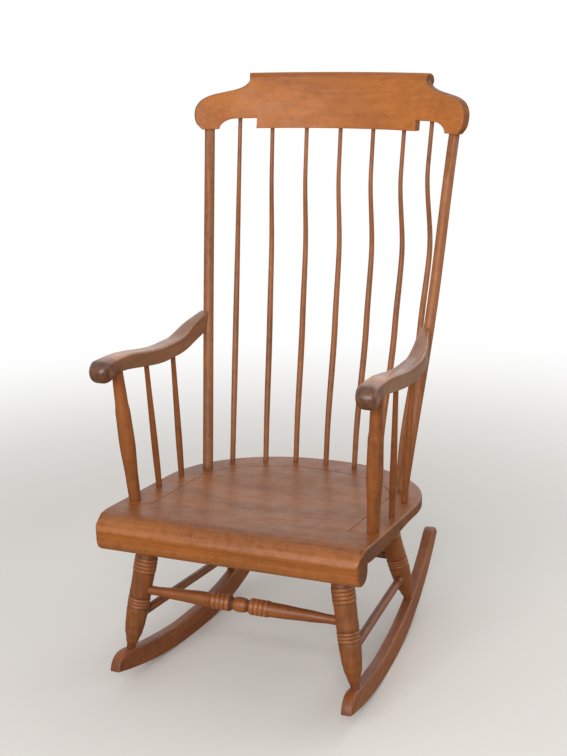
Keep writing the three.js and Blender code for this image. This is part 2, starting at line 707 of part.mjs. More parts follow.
function backPost(side) {
  const stick = makePost(side);
  const { base, top } = stick;
  const aboveCrestFoot = new THREE.BoxGeometry(CREST_HEIGHT, CREST_HEIGHT, CREST_HEIGHT);
  aboveCrestFoot.translate(top.x, top.y, CREST_BOTTOM - JOINT_GAP + CREST_HEIGHT / 2);
  const tenon = bar(
    past(base, top, -POST_FLAT_RUNOUT), past(base, top, CREST_SOCKET), POST_TENON_RADIUS, TURNED_SIDES,
  );
  const body = postBody(side, 0).subtract(solid(aboveCrestFoot)).subtract(postFlat(stick)).add(tenon);
  return body.subtract(armTenon(side, ARM_TENON_RADIUS + JOINT_GAP, END_GAP));
}

// The round tenon at the back end of an arm, let into the front of the post.
function armTenon(side, radius, extra) {
  const middle = postPoint(side, ARM_END.z);
  const front = middle.clone().setY(middle.y - POST_RADIUS);
  const start = front.clone().setY(front.y - ARM_THICKNESS / 2);
  const end = front.clone().setY(front.y + ARM_TENON_LENGTH + extra);
  return bar(start, end, radius, ROD_SIDES);
}

// The arm seen from its side: a round knuckle in front, a dip in the middle and a rise to the post.
function armProfile() {
  const length = ARM_END.y - KNUCKLE_Y;
  const shape = new THREE.Shape();
  const knuckleZ = armUnderside(0) + ARM_THICKNESS - KNUCKLE_RADIUS;
  shape.absarc(KNUCKLE_Y, knuckleZ, KNUCKLE_RADIUS, Math.PI / 2, KNUCKLE_WRAP, false);
  for (let step = 1; step <= ARM_STEPS; step += 1) {
    const share = step / ARM_STEPS;
    shape.lineTo(KNUCKLE_Y + share * length, armUnderside(share));
  }
  for (let step = ARM_STEPS; step > 0; step -= 1) {
    const share = step / ARM_STEPS;
    const top = armUnderside(share) + ARM_THICKNESS * eased(ARM_DEPTH_SHARES, share);
    shape.lineTo(KNUCKLE_Y + share * length, top);
  }
  return shape;
}

// The left arm seen from above, with a round front.
function armPlan() {
  const length = ARM_END.y - KNUCKLE_Y;
  const outer = [];
  const inner = [];
  for (let step = 0; step <= ARM_STEPS; step += 1) {
    const share = step / ARM_STEPS;
    const half = ARM_WIDTH / 2 * eased(ARM_BREADTH_SHARES, share);
    outer.push(new THREE.Vector2(armCentre(share) + half, KNUCKLE_Y + share * length));
    inner.push(new THREE.Vector2(armCentre(share) - half, KNUCKLE_Y + share * length));
  }
  const shape = new THREE.Shape();
  shape.absellipse(armCentre(0), KNUCKLE_Y, ARM_WIDTH / 2, KNUCKLE_RADIUS, Math.PI, 2 * Math.PI, false, 0);
  for (const point of outer.slice(1)) shape.lineTo(point.x, point.y);
  for (const point of inner.slice(1).reverse()) shape.lineTo(point.x, point.y);
  return shape;
}

function arm(side) {
  const plan = planExtrusion(armPlan(), 0, ARM_HEIGHT + ARM_HEIGHT, 8);
  if (side < 0) plan.rotateY(Math.PI).translate(0, 0, ARM_HEIGHT + ARM_HEIGHT);
  const profile = sideExtrusion(armProfile(), SEAT_WIDTH + SEAT_WIDTH, 5);
  let body = solid(plan).intersect(solid(profile)).subtract(postBody(side, JOINT_GAP));
  body = body.subtract(upperSocket(makeArmPost(side), ARM_SOCKET));
  for (const places of ARM_SPINDLE_PLACE_SHARES) {
    body = body.subtract(upperSocket(makeArmSpindle(side, places), ARM_SOCKET));
  }
  return body.add(armTenon(side, ARM_TENON_RADIUS, 0));
}

function armPost(side) {
  const { base, top } = makeArmPost(side);
  const length = base.distanceTo(top);
  const profile = slimProfile(
    length, SEAT_SOCKET, ARM_SOCKET, ARM_POST_RADIUS, ARM_POST_PROFILE_SHARES, ARM_STEPS,
  );
  return solid(stand(turned(profile, TURNED_SIDES), base, top));
}

function armSpindle(side, places) {
  const { base, top } = makeArmSpindle(side, places);
  const length = base.distanceTo(top);
  const profile = slimProfile(
    length, SEAT_SOCKET, ARM_SOCKET, ARM_SPINDLE_RADIUS, ARM_SPINDLE_PROFILE_SHARES, ARM_SPINDLE_STEPS,
  );
  return solid(stand(turned(profile, ROD_SIDES), base, top));
}

// Rings side by side as [share, radius] points, from groove to groove.
function rings({ start, end, count, reach }, radius) {
  const crest = radius * reach;
  const pitch = (end - start) / count;
  const points = [[start, crest - RING_GROOVE]];
  for (let ring = 1; ring <= count; ring += 1) {
    points.push([start + (ring - RING_MIDDLE_SHARE) * pitch, crest]);
    points.push([start + ring * pitch, crest - RING_GROOVE]);
  }
  return points;
}

function grown(knots, radius) {
  return knots.map(([share, size]) => [share, size * radius]);
}

// A leg with its foot and its two sets of rings, cut off under the seat with a thinner tenon above.
function leg(stick, rods) {
  const { base, top } = stick;
  const length = base.distanceTo(top);
  const points = [
    ...grown(LEG_FOOT_SHARES, LEG_RADIUS),
    ...rings(LEG_LOWER_RING_SHARES, LEG_RADIUS),
    ...grown(LEG_WAIST_SHARES, LEG_RADIUS),
    ...rings(LEG_UPPER_RING_SHARES, LEG_RADIUS),
    ...grown(LEG_TOP_SHARES, LEG_RADIUS),
  ];
  const profile = points.map(([share, radius]) => [share * length, radius]);
  profile.unshift([-FOOT_SOCKET, profile[0][1] * FOOT_TAPER_SHARE]);
  profile.push([length + LEG_RADIUS / 2, profile.at(-1)[1]]);
  let body = solid(stand(turned(profile, LEG_SIDES), base, top)).subtract(aboveUnderside());
  body = body.add(bar(past(base, top, -LEG_RADIUS), past(base, top, SEAT_SOCKET), LEG_TENON_RADIUS, LEG_SIDES));
  for (const rod of rods) body = body.subtract(rodSockets(rod));
  return body;
}

// Everything above the underside of the seat, less a gap: it trims the tops of the legs.
function aboveUnderside() {
  const block = new THREE.BoxGeometry(SEAT_WIDTH, SEAT_DEPTH + SEAT_DEPTH, SEAT_HEIGHT);
  return solid(onDeck(block.translate(0, 0, SEAT_HEIGHT / 2 - PLANK - JOINT_GAP)));
}

// The front stretcher: mirrored about a ball in the middle, with a set of rings on each side of it.
function frontStretcher() {
  const { base, top } = makeFrontStretcher();
  const half = base.distanceTo(top) / 2;
  const points = [
    ...grown(STRETCHER_END_SHARES, STRETCHER_RADIUS),
    ...rings(STRETCHER_RING_SHARES, STRETCHER_RADIUS),
    ...grown(STRETCHER_BALL_SHARES, STRETCHER_RADIUS),
  ];
  const first = points.map(([share, radius]) => [share * half, radius]);
  const second = first.map(([height, radius]) => [half + half - height, radius]);
  const profile = [...first, ...second.reverse()];
  return solid(stand(turned(profile, TURNED_SIDES), base, top));
}

function plainRod({ base, top, lowRadius, sides }) {
  return bar(base, top, lowRadius, sides);
}

// A rocker seen from its side: a short flat where it rests, a deeper rear half and rounded tips.
function rockerOutline() {
  const shape = new THREE.Shape();
  const upper = [];
  const add = (start, end, steps) => {
    for (let step = 0; step <= steps; step += 1) {
      const station = rockerStation(THREE.MathUtils.lerp(start, end, step / steps));
      if (upper.length === 0 && step === 0) shape.moveTo(station.lower.x, station.lower.y);
      else shape.lineTo(station.lower.x, station.lower.y);
      upper.push(station.upper);
    }
  };
  add(-ROCKER_FRONT, FLAT_START, ROCKER_FRONT_STEPS);
  add(FLAT_END, ROCKER_REAR, ROCKER_REAR_STEPS);
  const heel = rockerStation(ROCKER_REAR);
  const heelFace = heel.lower.clone().addScaledVector(heel.inward, ROCKER_TIP_FACE);
  shape.lineTo(heelFace.x, heelFace.y);
  const keptFrom = ROCKER_FRONT_ROUND - ROCKER_FRONT;
  const keptTo = heel.upper.x - ROCKER_REAR_ROUND;
  const kept = upper.filter((point) => point.x > keptFrom && point.x < keptTo);
  const last = kept.at(-1);
  shape.quadraticCurveTo(heel.upper.x, heel.upper.y, last.x, last.y);
  for (const point of kept.slice(0, -1).reverse()) shape.lineTo(point.x, point.y);
  const toe = rockerStation(-ROCKER_FRONT);
  const toeFace = toe.lower.clone().addScaledVector(toe.inward, ROCKER_TIP_FACE);
  shape.quadraticCurveTo(toe.upper.x, toe.upper.y, toeFace.x, toeFace.y);
  return shape;
}

function rocker(side) {
  const board = sideExtrusion(rockerOutline(), ROCKER_THICKNESS, 4);
  board.rotateZ(side * ROCKER_TURN).translate(side * ROCKER_SPACING / 2, 0, 0);
  let body = solid(board);
  for (const stick of [makeFrontLeg(side), makeRearLeg(side)]) {
    body = body.subtract(lowerSocket(stick, FOOT_SOCKET));
  }
  return body;
}

const chair = new THREE.Group();

function wooden(name, body, finish) {
  const mesh = new THREE.Mesh(toGeometry(body), new THREE.MeshStandardMaterial({ ...finish, metalness: 0 }));
  mesh.name = name;
  chair.add(mesh);
}

wooden('seat', seat(), WOOD.plank);
wooden('crest_rail', crestRail(), WOOD.crest);
for (const stick of makeBackSpindles()) wooden(stick.name, backSpindle(stick), WOOD.turned);
wooden('front_stretcher', frontStretcher(), WOOD.turned);
wooden('rear_stretcher', plainRod(makeRearStretcher()), WOOD.turned);
for (const side of [1, -1]) {
  const hand = side > 0 ? 'left' : 'right';
  const sideRod = makeSideStretcher(side);
  wooden(`back_post_${hand}`, backPost(side), WOOD.turned);
  wooden(`arm_${hand}`, arm(side), WOOD.crest);
  wooden(`arm_post_${hand}`, armPost(side), WOOD.turned);
  ARM_SPINDLE_PLACE_SHARES.forEach((places, index) => {
    wooden(`arm_spindle_${hand}_${index + 1}`, armSpindle(side, places), WOOD.turned);
  });
  wooden(`front_leg_${hand}`, leg(makeFrontLeg(side), [makeFrontStretcher(), sideRod]), WOOD.turned);
  wooden(`rear_leg_${hand}`, leg(makeRearLeg(side), [makeRearStretcher(), sideRod]), WOOD.turned);
  wooden(`side_stretcher_${hand}`, plainRod(sideRod), WOOD.turned);
  wooden(`rocker_${hand}`, rocker(side), WOOD.rocker);
}

// The origin is under the middle of the whole chair.
const extent = new THREE.Box3().setFromObject(chair);
chair.position.y = -(extent.min.y + extent.max.y) / 2;

export default chair;
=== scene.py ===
# %% [markdown]
# A high-backed rocking chair: a saddled plank seat with a rolled nose, seven S-bent spindles under a bowed
# crest with a rolled top, swept arms with round knuckles, ring-turned legs and two curved rockers. The
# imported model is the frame. Every piece here stands where its solid stands, with finer curves and stains.

# %% Load the frame
from math import cos, pi, radians, sin, sqrt, tan

import bmesh
import bpy
from mathutils import Matrix, Vector


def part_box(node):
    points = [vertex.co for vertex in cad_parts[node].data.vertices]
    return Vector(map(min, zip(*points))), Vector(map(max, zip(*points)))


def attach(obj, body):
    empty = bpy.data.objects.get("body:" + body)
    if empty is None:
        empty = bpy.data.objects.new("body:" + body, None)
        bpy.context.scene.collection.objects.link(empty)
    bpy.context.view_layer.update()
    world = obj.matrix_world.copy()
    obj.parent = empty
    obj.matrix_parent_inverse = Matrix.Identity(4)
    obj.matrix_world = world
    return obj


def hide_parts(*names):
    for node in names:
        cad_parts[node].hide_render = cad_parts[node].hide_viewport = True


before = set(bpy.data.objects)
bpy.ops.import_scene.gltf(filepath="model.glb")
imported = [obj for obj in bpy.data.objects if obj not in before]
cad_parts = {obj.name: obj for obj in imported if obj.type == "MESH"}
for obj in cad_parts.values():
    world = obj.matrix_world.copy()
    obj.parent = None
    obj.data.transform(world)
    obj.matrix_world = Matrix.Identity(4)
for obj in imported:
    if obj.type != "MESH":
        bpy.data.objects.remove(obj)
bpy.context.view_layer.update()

# %% [markdown]
# The camera comes first, so every later step can be judged in its view. It stands in front of the chair's
# left side and a little above the crest. Its place was worked out from the chair's mirror symmetry, and its
# lens from how fast the two arms shrink with distance. It was held a degree out of level, which its two
# directions below keep.

# %% Camera
SEAT_DEPTH = 0.547
REST_SHARE = 0.55
REST_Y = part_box("seat")[0][1] + SEAT_DEPTH * REST_SHARE
CAMERA_PLACE = Vector((0.98061, REST_Y - 2.30877, 1.24201))
CAMERA_RIGHT = Vector((0.92181, 0.38718, -0.01894))
CAMERA_UP = Vector((-0.08599, 0.25187, 0.96393))
SENSOR_HEIGHT = 24.0
FOCAL_PIXELS = 1371.87
PICTURE_HEIGHT = 756


def make_camera():
    data = bpy.data.cameras.new("camera")
    data.sensor_fit = "VERTICAL"
    data.sensor_height = SENSOR_HEIGHT
    data.lens = SENSOR_HEIGHT * FOCAL_PIXELS / PICTURE_HEIGHT
    camera = bpy.data.objects.new("camera", data)
    bpy.context.scene.collection.objects.link(camera)
    right = CAMERA_RIGHT.normalized()
    back = right.cross(CAMERA_UP).normalized()
    turn = Matrix((right, back.cross(right), back)).transposed()
    camera.matrix_world = Matrix.Translation(CAMERA_PLACE) @ turn.to_4x4()
    bpy.context.scene.camera = camera
    return camera


camera = make_camera()
print("camera at", [round(value, 3) for value in camera.location], "lens", round(camera.data.lens, 2))

# %% [markdown]
# All pieces share a few small helpers. Knots are [share, value] pairs, and a value between two knots is
# eased with a soft S. A place along the seat is a share of its depth from the front edge, as a chairmaker
# marks it.

# %% Shared places
SEAT_WIDTH = 0.520
SEAT_HEIGHT = 0.326
SEAT_FALL = 0.038
PLANK = 0.026
HALF_SEAT = SEAT_WIDTH / 2
SEAT_SLOPE = SEAT_FALL / SEAT_DEPTH


def eased(knots, share):
    index = 0
    while index < len(knots) - 2 and share > knots[index + 1][0]:
        index += 1
    (start, low), (end, high) = knots[index], knots[index + 1]
    run = min(1, max(0, (share - start) / (end - start)))
    return low + (high - low) * run * run * (3 - 2 * run)


def mix(low, high, share):
    return low + (high - low) * share


def along_seat(share):
    return REST_Y + SEAT_DEPTH * (share - REST_SHARE)


def deck_height(y):
    return SEAT_HEIGHT - SEAT_SLOPE * (y - REST_Y)


def deck_point(x, y):
    return Vector((x, y, deck_height(y)))


print("seat front at", round(along_seat(0), 4), "deck there", round(deck_height(along_seat(0)), 4))

# %% [markdown]
# A piece is a closed mesh made from lists of points and faces. Two numbers ride on every point:
# `wear_and_sheen`, for edges and crests that hands and cloth have rubbed pale, and for a painted highlight
# along the seat's brow, and `grime_and_shade`, for grooves, end grain and the feet of the legs where the
# stain stayed dark, and for painted shade at the ends of sticks, low on the sticks near the seat, along the
# crest's lower edges and middle, and under the seat. They are painted by the code that shapes the piece,
# because only that code knows where its edges are. Sharp creases are found by angle, so that round stretches
# shade smoothly. The chair is one body, so every piece rides its root, and each one takes the place of one
# solid of the imported model.

# %% Mesh helpers
CREASE = radians(38)
pieces = {}


def add_piece(node, shape, material, name=None):
    points, faces, wear_and_sheen, grime_and_shade = shape
    name = name or f"{node}_wood"
    mesh = bpy.data.meshes.new(name)
    mesh.from_pydata([tuple(point) for point in points], [], faces)
    for label, values in (("wear_and_sheen", wear_and_sheen), ("grime_and_shade", grime_and_shade)):
        mesh.attributes.new(label, "FLOAT", "POINT").data.foreach_set("value", values)
    solid = bmesh.new()
    solid.from_mesh(mesh)
    bmesh.ops.recalc_face_normals(solid, faces=solid.faces)
    solid.to_mesh(mesh)
    solid.free()
    mesh.shade_smooth()
    mesh.set_sharp_from_angle(angle=CREASE)
    mesh.materials.append(finishes[material])
    piece = bpy.data.objects.new(name, mesh)
    bpy.context.scene.collection.objects.link(piece)
    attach(piece, "root")
    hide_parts(node)
    pieces[name] = piece
    return piece


def lofted(rows, ends=True):
    """A skin over rows of (point, wear, grime). Each row is a loop, and the first and last may be closed."""
    size = len(rows[0])
    points, wear_and_sheen, grime_and_shade = (list(column) for column in zip(*(item for row in rows for item in row)))
    faces = []
    for start in range(0, size * (len(rows) - 1), size):
        for index in range(size):
            near, beside = start + index, start + (index + 1) % size
            faces.append((near, beside, beside + size, near + size))
    if ends:
        faces += [tuple(reversed(range(size))), tuple(range(len(points) - size, len(points)))]
    return points, faces, wear_and_sheen, grime_and_shade


def add_point(shape, point, worn_and_lit, dirty_and_shaded):
    """One more point for a shape, as the hub of a fan of faces. It gives back the point's index."""
    points, _, wear_and_sheen, grime_and_shade = shape
    points.append(point)
    wear_and_sheen.append(worn_and_lit)
    grime_and_shade.append(dirty_and_shaded)
    return len(points) - 1


print("crease angle:", round(CREASE, 3))

# %% [markdown]
# Every finish is wired from the same few nodes, so each gets a helper: noise, a soft threshold, a sum and a
# blend of two colours. An input is given either a plain value or another node's output, and `fill` does
# both.

# %% Node helpers
WHITE = (1, 1, 1, 1)


def linear(red, green, blue):
    """A colour picked on screen, 0 to 255, as the light values a shader works in."""
    def channel(value):
        value /= 255
        return value / 12.92 if value <= 0.04045 else ((value + 0.055) / 1.055) ** 2.4
    return (channel(red), channel(green), channel(blue), 1.0)


def fill(tree, node, inputs):
    for label, value in inputs.items():
        if isinstance(value, bpy.types.NodeSocket):
            tree.links.new(value, node.inputs[label])
        else:
            node.inputs[label].default_value = value
    return node


def add_node(tree, kind, inputs=None, **settings):
    node = tree.nodes.new("ShaderNode" + kind)
    for label, value in settings.items():
        setattr(node, label, value)
    return fill(tree, node, inputs or {})


def noise(tree, vector, scale, detail, roughness, stretch=None, output="Fac"):
    if stretch:
        vector = add_node(tree, "Mapping", {"Vector": vector, "Scale": stretch}).outputs["Vector"]
    inputs = {"Vector": vector, "Scale": scale, "Detail": detail, "Roughness": roughness}
    return add_node(tree, "TexNoise", inputs).outputs[output]


def spread(tree, value, low, high, to_low=0.0, to_high=1.0):
    inputs = {"Value": value, "From Min": low, "From Max": high, "To Min": to_low, "To Max": to_high}
    return add_node(tree, "MapRange", inputs, interpolation_type="SMOOTHSTEP").outputs["Result"]


def maths(tree, operation, first, second):
    return add_node(tree, "Math", {0: first, 1: second}, operation=operation).outputs["Value"]


def blend_colour(tree, factor, first, second):
    return add_node(tree, "Mix", {0: factor, 6: first, 7: second}, data_type="RGBA").outputs[2]


def new_group(name, inputs, outputs):
    group = bpy.data.node_groups.new(name, "ShaderNodeTree")
    for label, kind, value in inputs:
        socket = group.interface.new_socket(label, in_out="INPUT", socket_type="NodeSocket" + kind)
        if value is not None:
            socket.default_value = value
    for label, kind in outputs:
        group.interface.new_socket(label, in_out="OUTPUT", socket_type="NodeSocket" + kind)
    return group, group.nodes.new("NodeGroupInput").outputs, group.nodes.new("NodeGroupOutput")


print("middle grey on screen is light", round(linear(128, 128, 128)[0], 3))

# %% [markdown]
# The wood is pale, close-grained maple or birch under a brown stain and a satin lacquer. Its figure has
# three sizes: broad soft clouds where the stain took unevenly, growth lines a few millimetres apart that
# run the length of the piece, and short fine pores. A picture of wood could be wrapped on, but a node group
# that works in real lengths fits every piece with no seams, at the same scale.

# %% Stained wood group
CLOUD_SCALE, CLOUD_STRETCH, CLOUD_LIMITS = 7.0, (1.6, 1.6, 0.6), (0.34, 0.68)
LINE_SCALE, LINE_STRETCH, LINE_LIMITS = 120.0, (1, 1, 0.035), (0.34, 0.66)
PORE_SCALE, PORE_STRETCH, PORE_LIMITS = 1700.0, (1, 1, 0.05), (0.56, 0.74)
SWAY_SCALE, SWAY_STRETCH, SWAY_REACH = 9.0, (1, 1, 0.35), (0.018, 0.018, 0.0)
GLOSS_SCALE, GLOSS_LIMITS, GLOSS_ROUGHNESS = 26.0, (0.3, 0.7), (0.36, 0.48)
PORE_ROUGHNESS, LINE_HEIGHT = 0.12, 0.35


def stained_wood_group():
    """Works on a vector in metres whose Z runs along the grain."""
    group, given, leave = new_group(
        "stained_wood",
        [("Vector", "Vector", None),
         ("Light", "Color", (0.5, 0.25, 0.1, 1)), ("Dark", "Color", (0.2, 0.08, 0.03, 1)),
         ("Cloud Strength", "Float", 0.6), ("Line Strength", "Float", 0.5), ("Pore Strength", "Float", 0.5)],
        [("Color", "Color"), ("Roughness", "Float"), ("Height", "Float")],
    )
    vector = given["Vector"]
    sway = noise(group, vector, SWAY_SCALE, 1.0, 0.5, SWAY_STRETCH, "Color")
    swayed = add_node(group, "VectorMath", {0: sway, 1: SWAY_REACH, 2: vector}, operation="MULTIPLY_ADD")
    grain = swayed.outputs["Vector"]
    clouds = spread(group, noise(group, vector, CLOUD_SCALE, 2.0, 0.5, CLOUD_STRETCH), *CLOUD_LIMITS)
    lines = spread(group, noise(group, grain, LINE_SCALE, 3.0, 0.62, LINE_STRETCH), *LINE_LIMITS)
    pores = spread(group, noise(group, grain, PORE_SCALE, 2.0, 0.7, PORE_STRETCH), *PORE_LIMITS)
    cloud_part = maths(group, "MULTIPLY", clouds, given["Cloud Strength"])
    line_part = maths(group, "MULTIPLY", lines, given["Line Strength"])
    pore_part = maths(group, "MULTIPLY", pores, given["Pore Strength"])
    darkness = maths(group, "MINIMUM", maths(group, "ADD", cloud_part, line_part), 1.0)
    stained = blend_colour(group, darkness, given["Light"], given["Dark"])
    gloss = spread(group, noise(group, vector, GLOSS_SCALE, 3.0, 0.6), *GLOSS_LIMITS, *GLOSS_ROUGHNESS)
    fill(group, leave, {
        "Color": blend_colour(group, pore_part, stained, given["Dark"]),
        "Roughness": maths(group, "ADD", gloss, maths(group, "MULTIPLY", pore_part, PORE_ROUGHNESS)),
        "Height": maths(group, "SUBTRACT", maths(group, "MULTIPLY", lines, LINE_HEIGHT), pore_part)})
    return group


stained_wood = stained_wood_group()
print("group", stained_wood.name, "with", len(stained_wood.nodes), "nodes")

# %% [markdown]
# Years of hands and dusters thin the stain on crests and edges, and leave it dark in grooves. The second
# group takes the painted `wear_and_sheen` and `grime_and_shade`, which also carry a painted highlight and
# painted shade, breaks them up with noise so they don't look ruled, and lays a paler and a darker colour
# over the wood. It could be done with a bevel or pointiness trick, but painted numbers also survive export,
# and they only put wear where this chair would have it.

# %% Wear, grime and painted light group
PATCH_SCALE, PATCH_LIMITS, PATCH_STRENGTH = 60.0, (0.3, 0.62), (0.35, 1.0)
GRIME_AND_SHADE_PATCHES = (0.2, 1.0, 1.0, 0.7)
GRIME_AND_SHADE_ROUGHER, WEAR_AND_SHEEN_SMOOTHER = 0.25, 0.06


def handled_and_lit_finish_group():
    group, given, leave = new_group(
        "handled_and_lit_finish",
        [("Vector", "Vector", None), ("Color", "Color", (0.5, 0.25, 0.1, 1)),
         ("Wear_And_Sheen", "Float", 0.0), ("Grime_And_Shade", "Float", 0.0),
         ("Worn Color", "Color", (0.6, 0.3, 0.15, 1)), ("Grime Color", "Color", (0.05, 0.02, 0.01, 1)),
         ("Roughness", "Float", 0.35), ("Dullness", "Float", 0.0)],
        [("Color", "Color"), ("Roughness", "Float")],
    )
    patches = noise(group, given["Vector"], PATCH_SCALE, 4.0, 0.65)
    patches = spread(group, patches, *PATCH_LIMITS, *PATCH_STRENGTH)
    worn_and_lit = maths(group, "MULTIPLY", patches, given["Wear_And_Sheen"])
    dirty_and_shaded = maths(group, "MULTIPLY", spread(group, patches, *GRIME_AND_SHADE_PATCHES), given["Grime_And_Shade"])
    # Grime and painted shade give the darker blend; wear and the brow's painted highlight give the paler one.
    rubbed_and_lit = blend_colour(group, worn_and_lit, given["Color"], given["Worn Color"])
    rough = maths(group, "ADD", given["Roughness"], maths(group, "MULTIPLY", dirty_and_shaded, GRIME_AND_SHADE_ROUGHER))
    rough = maths(group, "SUBTRACT", rough, maths(group, "MULTIPLY", worn_and_lit, WEAR_AND_SHEEN_SMOOTHER))
    fill(group, leave, {"Color": blend_colour(group, dirty_and_shaded, rubbed_and_lit, given["Grime Color"]),
                        "Roughness": maths(group, "ADD", rough, given["Dullness"])})
    return group


handled_and_lit_finish = handled_and_lit_finish_group()
print("group", handled_and_lit_finish.name, "with", len(handled_and_lit_finish.nodes), "nodes")

# %% [markdown]
# One function makes every wood finish. What differs from piece to piece is the way the grain runs, the pair
# of stain colours, the colour of rubbed edges, how thick the lacquer is and how dull it has gone. The front
# legs take a darker pair as painted shade, and the seat's rubbed colour also paints the highlight on its
# brow. The lacquer is the shader's own coat. The arms, handled most, have the most of it.

# %% Wood finishes
# GRIME_AND_SHADE is the one dark colour for grime and for painted shade alike.
GRIME_AND_SHADE = linear(48, 24, 14)
GRAIN_TURNS = {"Z": (0, 0, 0), "X": (0, pi / 2, 0), "Y": (pi / 2, 0, 0)}
FIGURE = {"Cloud Strength": 0.6, "Line Strength": 0.5, "Pore Strength": 0.3}
BUMP_STRENGTH, BUMP_DEPTH = 0.25, 0.0003
SPECULAR, COAT_ROUGHNESS = 0.32, 0.22
FINISHES = {  # grain, pale stain, dark stain, rubbed edges, lacquer, dullness
    "crest_wood": ("X", (186, 110, 45), (152, 86, 36), (190, 122, 64), 0.03, 0.1),
    # The seat's rubbed colour also paints the highlight along its brow.
    "seat_wood": ("X", (146, 82, 22), (104, 54, 15), (172, 110, 66), 0.08, 0.02),
    "turned_wood": ("Z", (142, 78, 27), (97, 51, 19), (162, 98, 48), 0.04, 0.1),
    # The front legs' darker pair is painted shade for the shadow that falls on them.
    "shaded_front_leg_wood": ("Z", (134, 74, 30), (90, 48, 21), (154, 94, 50), 0.08, 0.06),
    "rear_leg_wood": ("Z", (148, 84, 36), (104, 56, 26), (166, 102, 56), 0.08, 0),
    "back_wood": ("Z", (152, 91, 46), (108, 61, 32), (172, 112, 70), 0.08, 0.14),
    "cross_wood": ("X", (134, 74, 34), (92, 48, 22), (160, 96, 52), 0.08, 0),
    "rod_wood": ("Y", (134, 72, 34), (94, 48, 24), (160, 94, 52), 0.08, 0),
    "arm_wood": ("Y", (142, 91, 54), (100, 63, 41), (194, 120, 62), 0.6, 0),
    "rocker_wood": ("Y", (142, 79, 34), (100, 52, 25), (158, 93, 52), 0.08, 0.05),
}


def wood(name, grain, light, dark, worn_and_lit, coat, dull):
    material = bpy.data.materials.new(name)
    material.use_nodes = True
    tree = material.node_tree
    place = add_node(tree, "TexCoord").outputs["Object"]
    vector = add_node(tree, "Mapping", {"Vector": place, "Rotation": GRAIN_TURNS[grain]}).outputs["Vector"]
    painted = {label: add_node(tree, "Attribute", attribute_name=label.lower()).outputs["Fac"]
               for label in ("Wear_And_Sheen", "Grime_And_Shade")}
    tones = {"Light": linear(*light), "Dark": linear(*dark)}
    figure = add_node(tree, "Group", {"Vector": vector, **tones, **FIGURE}, node_tree=stained_wood).outputs
    finish_inputs = {"Vector": vector, "Color": figure["Color"], "Roughness": figure["Roughness"], "Dullness": dull,
               "Worn Color": linear(*worn_and_lit), "Grime Color": GRIME_AND_SHADE, **painted}
    finish = add_node(tree, "Group", finish_inputs, node_tree=handled_and_lit_finish).outputs
    bump = {"Height": figure["Height"], "Strength": BUMP_STRENGTH, "Distance": BUMP_DEPTH}
    fill(tree, tree.nodes["Principled BSDF"], {
        "Base Color": finish["Color"], "Roughness": finish["Roughness"],
        "Normal": add_node(tree, "Bump", bump).outputs["Normal"],
        "Specular IOR Level": SPECULAR, "Coat Weight": coat, "Coat Roughness": COAT_ROUGHNESS})
    return material


finishes = {name: wood(name, *row) for name, row in FINISHES.items()}
print("finishes:", list(finishes))

# %% [markdown]
# Twenty-three of the pieces came off a lathe, so they share one tool: a list of rings along a stick, each
# with its height, radius, wear, and its grime and painted shade. The rings could be a curve with a bevel, but
# then a bead would need hundreds of curve points. Written as rings, a bead is a short arc between two
# V-grooves, as a turner cuts it.

# %% Turning
TENON = 0.006
STICK_WEAR = 0.35
# JOINT_SHADE and FOOT_SHADE are painted shade: a stick is darker within a centimetre of each end, and darker
# low down near its foot.
JOINT_SHADE, JOINT_REACH = 0.7, 0.012
FOOT_SHADE, FOOT_REACH = 0.32, 0.22


def stick_axes(base, top):
    axis = (top - base).normalized()
    helper = Vector((0, 0, 1)) if abs(axis.y) > 0.7 else Vector((0, 1, 0))
    first = helper.cross(axis).normalized()
    return axis, first, axis.cross(first)


def turned(base, top, profile, sides, move=None, trim=None):
    axis, first, second = stick_axes(base, top)
    rows = []
    for height, radius, worn_and_lit, dirty_and_shaded in profile:
        centre = base + axis * height + (move(height) if move else Vector())
        row = []
        for turn in range(sides):
            angle = 2 * pi * turn / sides
            offset = (first * cos(angle) + second * sin(angle)) * radius
            row.append((centre + (trim(height, offset) if trim else offset), worn_and_lit, dirty_and_shaded))
        rows.append(row)
    return lofted(rows)


def smooth_profile(length, radius, knots, steps, tenon=TENON):
    """Rings of a plain stick. Its ends run into what holds it. Painted shade darkens it at both ends and over
    its lower part near its foot.
    """
    rows = [(-TENON, radius * knots[0][1], 0.0, 1.0)]
    for step in range(steps + 1):
        share = step / steps
        height = length * share
        joint_shade = JOINT_SHADE - min(height, length - height) / JOINT_REACH
        foot_shade = FOOT_SHADE * max(0.0, 1 - height / FOOT_REACH)
        rows.append((height, radius * eased(knots, share), STICK_WEAR, max(foot_shade, joint_shade)))
    if tenon:
        rows.append((length + tenon, radius * knots[-1][1], 0.0, 1.0))
    return rows


print("a turned piece runs", round(TENON * 1000), "mm into what holds it")

# %% [markdown]
# The crest is a board bowed round an upright circle and leaned back. One function gives any point of it,
# from its place across, its height and its depth in the board. The spindles and posts end on the same
# surface, so they come from it too. Their feet follow the seat's back edge a little inside it.

# %% Back surface
CREST_WIDTH = 0.566
CREST_BOTTOM = 0.992
CREST_HEIGHT = 0.109
CREST_THICKNESS = 0.020
CREST_BOW_RADIUS = 0.500
CREST_ROLL_RADIUS = 0.0135
CREST_ARCH_RISE = 0.020
CREST_LEAN = radians(12.5)
BACK_RAKE = 0.103
BACK_INSET = 0.038
HALF_CREST = CREST_WIDTH / 2
ARCH_START, ARCH_END, ARCH_FOOT = 0.605, 0.745, 0.85
CURVE_START = {"edge": 0.543, "feet": 0.592}
SQUARENESS = {"edge": 2.12, "feet": 2.15}


def back_curve(x, line, inset):
    start = along_seat(CURVE_START[line])
    across = min(1, abs(x) / (HALF_SEAT - inset))
    power = SQUARENESS[line]
    return start + (along_seat(1) - start - inset) * (1 - across ** power) ** (1 / power)


